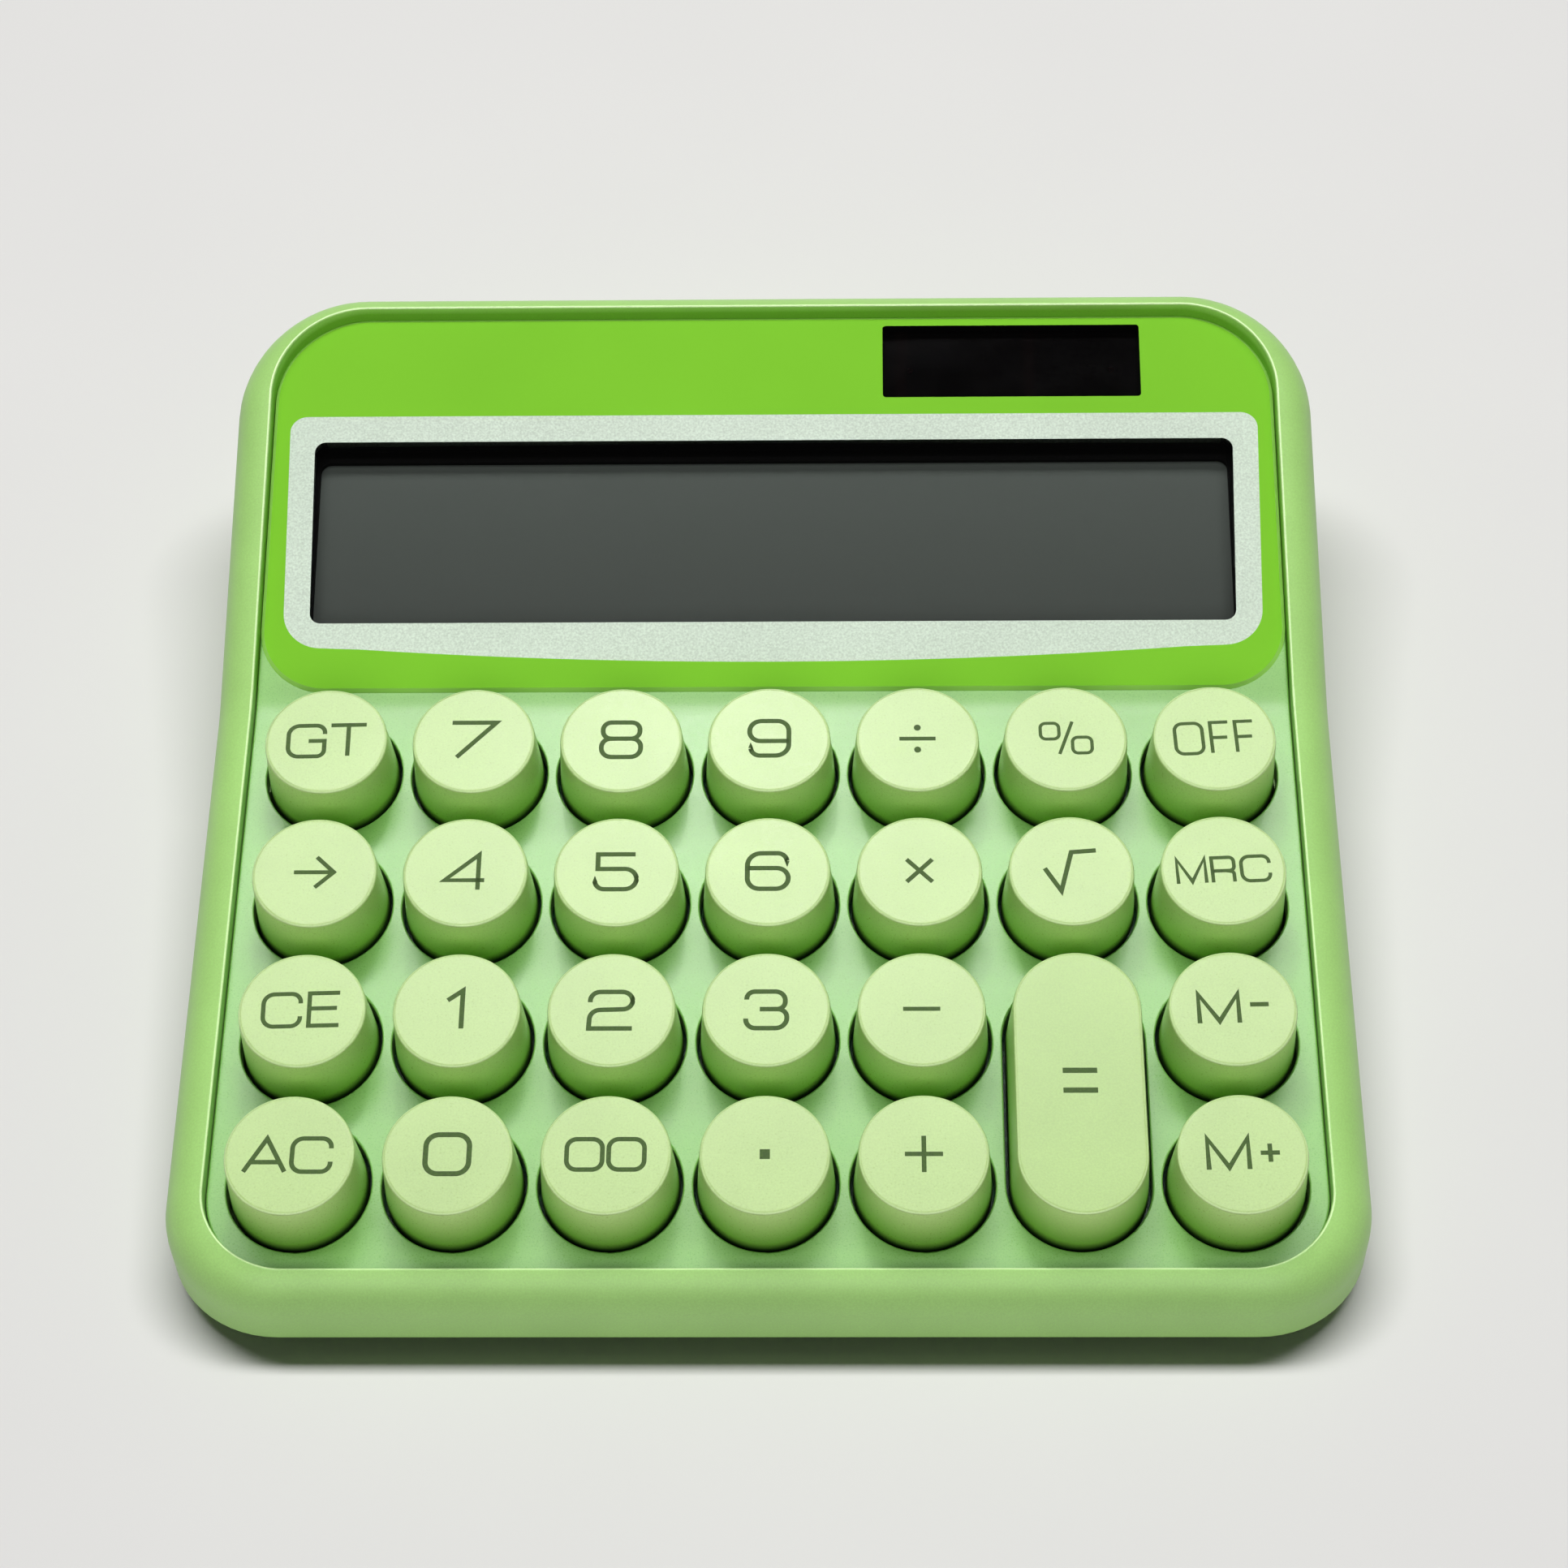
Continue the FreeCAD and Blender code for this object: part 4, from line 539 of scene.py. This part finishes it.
def plate(holes, levels, place):
    """A flat plate whose wall follows (height, outline) levels, with straight holes.

    Gives its vertices, its faces and how many of the first faces are walls of the holes.
    """
    vertices, faces = [], []

    def add_loop(points, height):
        first = len(vertices)
        vertices.extend(place @ Vector((point[0], point[1], height)) for point in points)
        return [first + index for index in range(len(points))]

    def add_wall(lower, upper):
        count = len(lower)
        for index in range(count):
            ahead = (index + 1) % count
            faces.append((lower[index], lower[ahead], upper[ahead], upper[index]))

    low, high = levels[0][0], levels[-1][0]
    hole_low = [add_loop(points, low) for points in holes]
    hole_high = [add_loop(points, high) for points in holes]
    for lower, upper in zip(hole_low, hole_high):
        add_wall(upper, lower)
    hole_walls = len(faces)
    rings = [add_loop(points, height) for height, points in levels]
    for lower, upper in zip(rings, rings[1:]):
        add_wall(lower, upper)
    for ring, others, upward in ((rings[-1], hole_high, True), (rings[0], hole_low, False)):
        loops = [ring] + others
        flat = [[place.inverted() @ vertices[index] for index in loop] for loop in loops]
        order = [index for loop in loops for index in loop]
        for triangle in tessellate_polygon(flat):
            corner = [order[index] for index in triangle]
            first, second, third = (vertices[index] for index in corner)
            normal = (second - first).cross(third - first)
            faces.append(tuple(corner if (normal.z > 0) == upward else corner[::-1]))
    return vertices, faces, hole_walls


def sweep_faces(rings, sides, closed):
    """Faces round a sweep through rings of vertices, with a cap at each end unless it's closed."""
    faces = []
    for ring in range(rings if closed else rings - 1):
        here, ahead = sides * ring, sides * ((ring + 1) % rings)
        for side in range(sides):
            onward = (side + 1) % sides
            faces.append((here + side, here + onward, ahead + onward, ahead + side))
    if not closed:
        faces.append(tuple(reversed(range(sides))))
        faces.append(tuple(sides * (rings - 1) + side for side in range(sides)))
    return faces


# Display lens: lime print, silver frame and two clear windows

LENS_LOW = -1.4 * MM
LENS_HIGH = 0.3 * MM
LENS_BEVEL = 0.5 * MM
LENS_HALF = 71.8 * MM
LENS_FRONT = 2.1 * MM
LENS_FRONT_CORNER = 9.5 * MM
LENS_REAR_Y = 71.1 * MM
LENS_REAR_CORNER = 13.4 * MM
LENS_STEPS = 24
FRAME_TOP_HALF = 69.4 * MM
FRAME_LOW_HALF = 68.6 * MM
FRAME_TOP = 45.0 * MM
FRAME_LOW_SIDE = 8.9 * MM
FRAME_LOW_MIDDLE = 6.4 * MM
FRAME_TOP_CORNER = 2.4 * MM
FRAME_LOW_CORNER = 5.5 * MM
FRAME_BOW_STEPS = 24
WINDOW_TOP_HALF = 65.7 * MM
WINDOW_LOW_HALF = 65.0 * MM
WINDOW_TOP = 40.9 * MM
WINDOW_LOW = 12.5 * MM
WINDOW_CORNER = 1.6 * MM
SOLAR_LEFT = 15.8 * MM
SOLAR_RIGHT = 52.9 * MM
SOLAR_FRONT = 47.7 * MM
SOLAR_REAR = 59.3 * MM
SOLAR_CORNER = 0.5 * MM

# Places of the materials on a printed piece of the lens: black hole walls as painted shade, and a paler
# lime bevel as a painted highlight
SHADED_HOLE_WALL = 1
BEVEL = 2


def lens_outline(inset):
    """The lens's edge, drawn in by an inset, in the display's frame."""
    half = LENS_HALF - inset
    front = LENS_FRONT + inset
    rear = (LENS_REAR_Y - BEND.y) / math.cos(DISPLAY_TILT) - inset
    front_corner = LENS_FRONT_CORNER - inset
    rear_corner = LENS_REAR_CORNER - inset
    return rounded_loop([(-half, front, front_corner), (half, front, front_corner),
                         (half, rear, rear_corner), (-half, rear, rear_corner)], LENS_STEPS)


def frame_outline():
    """The silver frame's edge, bowed along its lower side."""
    reach = FRAME_LOW_HALF - FRAME_LOW_CORNER
    bow = []
    for step in range(1, FRAME_BOW_STEPS):
        x = -reach + 2 * reach * step / FRAME_BOW_STEPS
        sag = (FRAME_LOW_SIDE - FRAME_LOW_MIDDLE) * (1.0 - (x / reach) ** 2)
        bow.append((x, FRAME_LOW_SIDE - sag, 0.0))
    return rounded_loop([(-FRAME_LOW_HALF, FRAME_LOW_SIDE, FRAME_LOW_CORNER)] + bow + [
        (FRAME_LOW_HALF, FRAME_LOW_SIDE, FRAME_LOW_CORNER),
        (FRAME_TOP_HALF, FRAME_TOP, FRAME_TOP_CORNER), (-FRAME_TOP_HALF, FRAME_TOP, FRAME_TOP_CORNER)])


def window_outline():
    return rounded_loop([
        (-WINDOW_LOW_HALF, WINDOW_LOW, WINDOW_CORNER), (WINDOW_LOW_HALF, WINDOW_LOW, WINDOW_CORNER),
        (WINDOW_TOP_HALF, WINDOW_TOP, WINDOW_CORNER), (-WINDOW_TOP_HALF, WINDOW_TOP, WINDOW_CORNER)])


def solar_outline():
    return rounded_loop([
        (SOLAR_LEFT, SOLAR_FRONT, SOLAR_CORNER), (SOLAR_RIGHT, SOLAR_FRONT, SOLAR_CORNER),
        (SOLAR_RIGHT, SOLAR_REAR, SOLAR_CORNER), (SOLAR_LEFT, SOLAR_REAR, SOLAR_CORNER)])


def paint(piece, first, count, look):
    """Give a run of faces another of the piece's materials."""
    for face in piece.data.polygons[first:first + count]:
        face.material_index = look


def make_lens():
    """Split the lens into its printed and clear areas."""
    edge = lens_outline(0.0)
    inner = lens_outline(LENS_BEVEL)
    silver_edge = frame_outline()
    window = window_outline()
    solar = solar_outline()
    hole_shade_black = look_of("lcd_holder")

    levels = [(LENS_LOW, edge), (LENS_HIGH - LENS_BEVEL, edge), (LENS_HIGH, inner)]
    vertices, faces, hole_walls = plate([silver_edge, solar], levels, DISPLAY)
    looks = [look_of("display_lens"), hole_shade_black, lens_lime("lens_bevel", PALE_LIME_HIGHLIGHT)]
    piece = new_piece("lens_lime_print", vertices, faces, looks, "case")
    # The walls of the frame and solar holes get the holder's black as painted shade of the recess under the
    # lens
    paint(piece, 0, hole_walls, SHADED_HOLE_WALL)
    # The bevel gets a paler lime as a painted highlight
    paint(piece, hole_walls + len(edge), len(edge), BEVEL)
    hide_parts("display_lens")

    levels = [(LENS_LOW, silver_edge), (LENS_HIGH, silver_edge)]
    vertices, faces, hole_walls = plate([window], levels, DISPLAY)
    looks = [lens_silver(), hole_shade_black]
    piece = new_piece("lens_silver_frame", vertices, faces, looks, "case")
    # The window's wall gets the holder's black as painted shade
    paint(piece, 0, hole_walls, SHADED_HOLE_WALL)

    clear = lens_clear()
    for name, outline in (("lens_display_window", window), ("lens_solar_window", solar)):
        vertices, faces, _ = plate([], [(LENS_LOW, outline), (LENS_HIGH, outline)], DISPLAY)
        new_piece(name, vertices, faces, [clear], "case")


# Key legends: signs as strokes of (x, y, radius) corners in a box of width and height 1

ROUND = 0.3
RING = [(0, 0, ROUND), (1, 0, ROUND), (1, 1, ROUND), (0, 1, ROUND), "close"]
GLYPHS = {
    "0": [RING],
    "1": [[(0.0, 0.74, 0), (0.8, 1.0, 0), (0.8, 0.0, 0)]],
    "2": [[(0.02, 0.72, 0), (0.02, 1, 0.24), (1, 1, 0.26), (1, 0.53, 0.24), (0.02, 0.5, 0.26), (0, 0, 0),
           (1, 0, 0)]],
    "3": [[(0.02, 0.78, 0), (0.02, 1, 0.2), (0.96, 1, 0.24), (0.96, 0.52, 0.2), (0.34, 0.52, 0)],
          [(0.6, 0.52, 0), (1, 0.52, 0.22), (1, 0, 0.28), (0, 0, 0.24), (0, 0.26, 0)]],
    "4": [[(0.84, 0, 0), (0.84, 1, 0), (0, 0.27, 0), (1, 0.27, 0)]],
    "5": [[(0.96, 1, 0), (0.06, 1, 0), (0.06, 0.58, 0), (1, 0.58, 0.3), (1, 0, 0.3), (0, 0, 0.24),
           (0, 0.2, 0)]],
    "6": [[(0.97, 0.78, 0), (0.97, 1, 0.24), (0, 1, 0.34), (0, 0, 0.3), (1, 0, 0.3), (1, 0.58, 0.28),
           (0, 0.58, 0)]],
    "7": [[(0, 1, 0), (1, 1, 0), (0.14, 0, 0)]],
    "8": [[(0.03, 0.53, 0.22), (0.97, 0.53, 0.22), (0.97, 1, 0.22), (0.03, 1, 0.22), "close"],
          [(0, 0, 0.26), (1, 0, 0.26), (1, 0.53, 0.24), (0, 0.53, 0.24), "close"]],
    "9": [[(0.03, 0.22, 0), (0.03, 0, 0.24), (1, 0, 0.34), (1, 1, 0.3), (0, 1, 0.3), (0, 0.42, 0.28),
           (1, 0.42, 0)]],
    "A": [[(0, 0, 0), (0.52, 1, 0), (1, 0, 0)], [(0.17, 0.29, 0), (0.86, 0.29, 0)]],
    "C": [[(1, 0.7, 0), (1, 1, 0.26), (0, 1, ROUND), (0, 0, ROUND), (1, 0, 0.26), (1, 0.3, 0)]],
    "E": [[(1, 1, 0), (0, 1, 0), (0, 0, 0), (1, 0, 0)], [(0, 0.53, 0), (0.92, 0.53, 0)]],
    "F": [[(1, 1, 0), (0, 1, 0), (0, 0, 0)], [(0, 0.5, 0), (0.9, 0.5, 0)]],
    "G": [[(1, 0.72, 0), (1, 1, 0.24), (0, 1, ROUND), (0, 0, ROUND), (1, 0, 0.2), (1, 0.5, 0),
           (0.56, 0.5, 0)]],
    "M": [[(0, 0, 0), (0, 1, 0), (0.5, 0.06, 0), (1, 1, 0), (1, 0, 0)]],
    "O": [RING],
    "R": [[(0, 0, 0), (0, 1, 0), (1, 1, 0.22), (1, 0.46, 0.22), (0, 0.46, 0)],
          [(0.62, 0.46, 0), (0.97, 0.4, 0.14), (0.97, 0, 0)]],
    "T": [[(0, 1, 0), (1, 1, 0)], [(0.5, 1, 0), (0.5, 0, 0)]],
    "bar": [[(0, 0.5, 0), (1, 0.5, 0)]],
    "plus": [[(0, 0.5, 0), (1, 0.5, 0)], [(0.5, 0, 0), (0.5, 1, 0)]],
    "times": [[(0, 0, 0), (1, 1, 0)], [(0, 1, 0), (1, 0, 0)]],
    "root": [[(0, 0.58, 0), (0.29, 0, 0), (0.525, 0.97, 0), (1, 1, 0)]],
    "arrow": [[(0, 0.5, 0), (1, 0.5, 0)], [(0.55, 1, 0), (1, 0.5, 0), (0.55, 0, 0)]],
    "slash": [[(0, 0, 0), (1, 1, 0)]],
    "equals": [[(0, 0, 0), (1, 0, 0)], [(0, 1, 0), (1, 1, 0)]],
}

# Legends: turn in degrees, then each sign with its left, lower, width, height and stroke in millimetres
# from the middle of the key's top; a dot has its middle and its diameter
LEGENDS = {
    "key_gt": (1.0, [("G", -5.1, -2.45, 4.9, 4.9, 0.6), ("T", 0.6, -2.45, 4.8, 4.9, 0.6)]),
    "key_7": (0.0, [("7", -3.0, -2.7, 6.0, 5.5, 0.64)]),
    "key_8": (0.0, [("8", -2.65, -2.75, 5.3, 5.5, 0.66)]),
    "key_9": (0.0, [("9", -2.65, -2.6, 5.3, 5.5, 0.66)]),
    "key_divide": (0.0, [("bar", -2.45, -1.0, 4.9, 2.0, 0.58), ("dot", 0.0, 1.75, 0.95, 0.95, 0),
                         ("dot", 0.0, -1.75, 0.95, 0.95, 0)]),
    "key_percent": (1.0, [("O", -3.4, -0.1, 2.5, 2.5, 0.46), ("slash", -0.95, -2.5, 1.9, 5.1, 0.46),
                          ("O", 0.85, -2.4, 2.6, 2.5, 0.46)]),
    "key_off": (2.6, [("O", -5.3, -2.4, 3.7, 4.8, 0.49), ("F", -0.45, -2.4, 2.4, 4.8, 0.49),
                      ("F", 2.9, -2.4, 2.4, 4.8, 0.49)]),
    "key_backspace": (0.0, [("arrow", -2.7, -2.3, 5.3, 4.6, 0.58)]),
    "key_4": (0.0, [("4", -2.7, -2.7, 5.3, 5.3, 0.6)]),
    "key_5": (0.0, [("5", -2.8, -2.7, 5.5, 5.3, 0.64)]),
    "key_6": (0.0, [("6", -2.7, -2.7, 5.4, 5.4, 0.66)]),
    "key_multiply": (0.0, [("times", -1.7, -1.7, 3.4, 3.4, 0.6)]),
    "key_root": (1.5, [("root", -3.5, -3.1, 6.9, 6.0, 0.64)]),
    "key_mrc": (2.6, [("M", -6.1, -1.85, 3.7, 3.7, 0.49), ("R", -1.5, -1.85, 2.9, 3.7, 0.49),
                      ("C", 2.35, -1.85, 3.7, 3.7, 0.49)]),
    "key_ce": (1.5, [("C", -5.0, -2.3, 4.8, 4.7, 0.58), ("E", 0.95, -2.3, 3.9, 4.7, 0.58)]),
    "key_1": (0.0, [("1", -1.2, -2.7, 2.4, 5.5, 0.64)]),
    "key_2": (0.0, [("2", -2.85, -2.75, 5.6, 5.3, 0.64)]),
    "key_3": (0.0, [("3", -2.65, -2.75, 5.3, 5.3, 0.64)]),
    "key_minus": (0.0, [("bar", -2.4, -1.0, 4.8, 2.0, 0.58)]),
    "key_equals": (0.0, [("equals", -2.2, -1.4, 4.4, 2.8, 0.74)]),
    "key_m_minus": (1.0, [("M", -4.4, -2.1, 5.1, 4.2, 0.62), ("bar", 2.2, -0.5, 2.4, 2.0, 0.62)]),
    "key_ac": (0.0, [("A", -5.6, -2.35, 5.2, 4.6, 0.6), ("C", 0.4, -2.35, 4.9, 4.6, 0.6)]),
    "key_0": (0.0, [("0", -2.75, -2.65, 5.5, 5.4, 0.68)]),
    "key_00": (0.0, [("0", -4.95, -2.1, 4.5, 4.2, 0.6), ("0", 0.35, -2.1, 4.5, 4.2, 0.6)]),
    "key_point": (0.0, [("bar", -0.65, -1.0, 1.3, 2.0, 1.35)]),
    "key_plus": (0.0, [("plus", -2.4, -2.5, 4.8, 5.0, 0.6)]),
    "key_m_plus": (1.0, [("M", -4.4, -2.15, 5.1, 4.3, 0.62), ("plus", 2.2, -1.2, 2.4, 2.5, 0.58)]),
}
INK_LOW = -0.02 * MM
INK_HIGH = 0.02 * MM
INK_LAP = 0.003 * MM
MITRE_LIMIT = 2.5
STROKE_SIDES = 4
DOT_STEPS = 24


def stroke_sides(points, width, closed):
    """The points to the right and left of a stroke's centre line, mitred at its corners."""
    right, left = [], []
    last = len(points) - 1
    for index, point in enumerate(points):
        back = points[index - 1] if index > 0 or closed else None
        ahead = points[(index + 1) % (last + 1)] if index < last or closed else None
        arriving = (point - back).normalized() if back is not None else (ahead - point).normalized()
        leaving = (ahead - point).normalized() if ahead is not None else arriving
        heading = (arriving + leaving).normalized()
        across = Vector((heading.y, -heading.x))
        mitre = min(1.0 / across.dot(Vector((arriving.y, -arriving.x))), MITRE_LIMIT)
        right.append(point + across * (width / 2 * mitre))
        left.append(point - across * (width / 2 * mitre))
    return right, left


def ribbon(points, width, closed, low, high, place):
    """Vertices and faces of a flat stroke along points, between two heights."""
    right, left = stroke_sides(points, width, closed)
    vertices = []
    for one, other in zip(right, left):
        for point, height in ((one, low), (other, low), (other, high), (one, high)):
            vertices.append(place @ Vector((point.x, point.y, height)))
    return vertices, sweep_faces(len(points), STROKE_SIDES, closed)


def sign_strokes(sign, left, low, width, height):
    """The centre lines of a sign in millimetres, each with a mark for a closed one."""
    scale = min(width, height)
    for stroke in GLYPHS[sign]:
        closed = stroke[-1] == "close"
        corners = [(left + x * width, low + y * height, radius * scale)
                   for x, y, radius in (stroke[:-1] if closed else stroke)]
        yield (rounded_loop(corners) if closed else rounded_path(corners)), closed


def dot_outline(x, y, diameter):
    radius = diameter / 2
    outline = []
    for step in range(DOT_STEPS):
        turn = 2 * math.pi * step / DOT_STEPS
        outline.append(Vector((x + radius * math.cos(turn), y + radius * math.sin(turn))))
    return outline


def make_legend(name, spot, material):
    """One legend, a thin raised film of ink on its key. Where strokes cross, the later one lies higher."""
    turn, signs = LEGENDS[name]
    place = (DECK @ Matrix.Translation((spot[0], spot[1], KEY_TOP))
             @ Matrix.Rotation(math.radians(turn), 4, "Z") @ Matrix.Diagonal((MM, MM, 1.0, 1.0)))
    vertices, faces = [], []

    def add(part_vertices, part_faces):
        first = len(vertices)
        vertices.extend(part_vertices)
        faces.extend(tuple(first + index for index in face) for face in part_faces)

    for sign, left, low, width, height, pen in signs:
        if sign == "dot":
            outline = dot_outline(left, low, width)
            dot_vertices, dot_faces, _ = plate([], [(INK_LOW, outline), (INK_HIGH, outline)], place)
            add(dot_vertices, dot_faces)
            continue
        top = INK_HIGH
        for points, closed in sign_strokes(sign, left, low, width, height):
            add(*ribbon(points, pen, closed, INK_LOW, top, place))
            top += INK_LAP
    new_piece(name.replace("key_", "legend_"), vertices, faces, [material], name + "_body")


# Key springs, wound coils inside the switches

SPRING_FOOT = -5.4 * MM
SPRING_TOP = 2.4 * MM
SPRING_WIRE = 0.45 * MM
SPRING_OUTSIDE = 4.0 * MM
SPRING_TURNS = 7
SPRING_STEPS = 16
SPRING_SIDES = 6


def make_spring(name, spot, material):
    """One wound spring under its key."""
    place = DECK @ Matrix.Translation((spot[0], spot[1], 0.0))
    radius = (SPRING_OUTSIDE - SPRING_WIRE) / 2
    rise = SPRING_TOP - SPRING_FOOT - SPRING_WIRE
    count = SPRING_TURNS * SPRING_STEPS
    vertices = []
    for step in range(count + 1):
        turn = 2 * math.pi * step / SPRING_STEPS
        outward = Vector((math.cos(turn), math.sin(turn), 0.0))
        middle = outward * radius + UPWARD * (SPRING_FOOT + SPRING_WIRE / 2 + rise * step / count)
        for side in range(SPRING_SIDES):
            angle = 2 * math.pi * side / SPRING_SIDES
            offset = outward * math.cos(angle) + UPWARD * math.sin(angle)
            vertices.append(place @ (middle + offset * (SPRING_WIRE / 2)))
    faces = sweep_faces(count + 1, SPRING_SIDES, False)
    piece = new_piece(name.replace("key_", "spring_"), vertices, faces, [material], "case")
    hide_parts("key_springs")
    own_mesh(piece)


# Floor, lights, world and camera

FLOOR_HALF = 3.0
OFF_FLOOR = "EXCLUDE"
FLOOR_ALONE = "INCLUDE"

# Lamps: name, place, target, size, power, spread in degrees and what the lamp does to the floor. The long
# ceiling strip is what the deck mirrors, and the floor strip sets the length of the shadow in front.
LAMPS = (
    ("ceiling_strip", (0.0, 0.52, 1.2), (0.0, 0.0, 0.0), (1.2, 0.14), 3.0, 90.0, OFF_FLOOR),
    ("top_strip", (0.0, 0.05, 1.2), (0.0, 0.0, 0.0), (1.0, 0.10), 4.0, 180.0, OFF_FLOOR),
    ("rear_lamp", (-0.034, 0.28, 0.465), (0.0, -0.05, 0.02), (0.018, 0.022), 0.42, 180.0, OFF_FLOOR),
    ("front_box", (0.0, -0.9, 0.75), (0.0, 0.0, 0.02), (1.2, 0.5), 5.5, 180.0, OFF_FLOOR),
    ("floor_strip", (0.0, 0.26, 1.2), (0.0, 0.0, 0.0), (1.2, 0.2), 15.8, 180.0, FLOOR_ALONE),
)

# Brightness of the studio by the sine of the height above the horizon: pale walls, a dim dome and a dark
# ceiling, which the display mirrors
STUDIO = (
    (0.12, grey(0.10)),
    (0.3, grey(0.05)),
    (0.72, grey(0.05)),
    (0.93, grey(0.004)),
)

# The photograph's camera, fitted to the keys
CAMERA_PLACE = Vector((10.657, -284.614, 394.12)) * MM
CAMERA_LOOK = Vector((-0.018754, 0.605231, -0.795829))
CAMERA_RIGHT = Vector((0.999819, 0.008682, -0.016958))
CAMERA_LENS = 78.746
CAMERA_SENSOR = 36.0
CAMERA_NEAR = 10.0 * MM


def make_floor():
    corners = [(-FLOOR_HALF, -FLOOR_HALF, 0), (FLOOR_HALF, -FLOOR_HALF, 0),
               (FLOOR_HALF, FLOOR_HALF, 0), (-FLOOR_HALF, FLOOR_HALF, 0)]
    mesh = bpy.data.meshes.new("floor")
    mesh.from_pydata(corners, [], [(0, 1, 2, 3)])
    mesh.materials.append(floor_paper())
    floor = bpy.data.objects.new("floor", mesh)
    bpy.context.scene.collection.objects.link(floor)
    return floor


def make_lamp(name, place, target, size, power, spread):
    light = bpy.data.lights.new(name, "AREA")
    light.shape = "RECTANGLE"
    light.size, light.size_y = size
    light.energy = power
    light.spread = math.radians(spread)
    lamp = bpy.data.objects.new(name, light)
    lamp.location = place
    lamp.rotation_euler = (Vector(target) - Vector(place)).to_track_quat("-Z", "Y").to_euler()
    bpy.context.scene.collection.objects.link(lamp)
    return lamp


def link_light(lamp, thing, state):
    """Keep a lamp's light off a thing, as a flag in a studio does, or let it reach that thing alone."""
    group = bpy.data.collections.new(lamp.name + "_receivers")
    group.objects.link(thing)
    lamp.light_linking.receiver_collection = group
    group.collection_objects[0].light_linking.link_state = state


def make_world():
    world = bpy.data.worlds.new("studio")
    world.use_nodes = True
    tree = world.node_tree
    back = tree.nodes["Background"]
    back.inputs["Color"].default_value = WHITE
    way = tree.nodes.new("ShaderNodeTexCoord")
    split = tree.nodes.new("ShaderNodeSeparateXYZ")
    level = tree.nodes.new("ShaderNodeValToRGB")
    fill_ramp(level, STUDIO)
    tree.links.new(way.outputs["Generated"], split.inputs["Vector"])
    tree.links.new(split.outputs["Z"], level.inputs["Fac"])
    tree.links.new(level.outputs["Color"], back.inputs["Strength"])
    bpy.context.scene.world = world


def make_camera():
    camera = bpy.data.cameras.new("camera")
    camera.lens = CAMERA_LENS
    camera.sensor_fit = "HORIZONTAL"
    camera.sensor_width = CAMERA_SENSOR
    camera.clip_start = CAMERA_NEAR
    up = CAMERA_RIGHT.cross(CAMERA_LOOK)
    turned = Matrix((CAMERA_RIGHT, up, -CAMERA_LOOK)).transposed().to_4x4()
    thing = bpy.data.objects.new("camera", camera)
    thing.matrix_world = Matrix.Translation(CAMERA_PLACE) @ turned
    bpy.context.scene.collection.objects.link(thing)
    bpy.context.scene.camera = thing


dress_nodes()
make_lens()
legend_ink = ink()
spring_steel = look_of("key_springs")
for key_name, key_spot in key_spots().items():
    make_legend(key_name, key_spot, legend_ink)
    make_spring(key_name, key_spot, spring_steel)
floor = make_floor()
for *lamp_values, floor_state in LAMPS:
    link_light(make_lamp(*lamp_values), floor, floor_state)
make_world()
make_camera()
bpy.context.scene.view_settings.view_transform = "Standard"
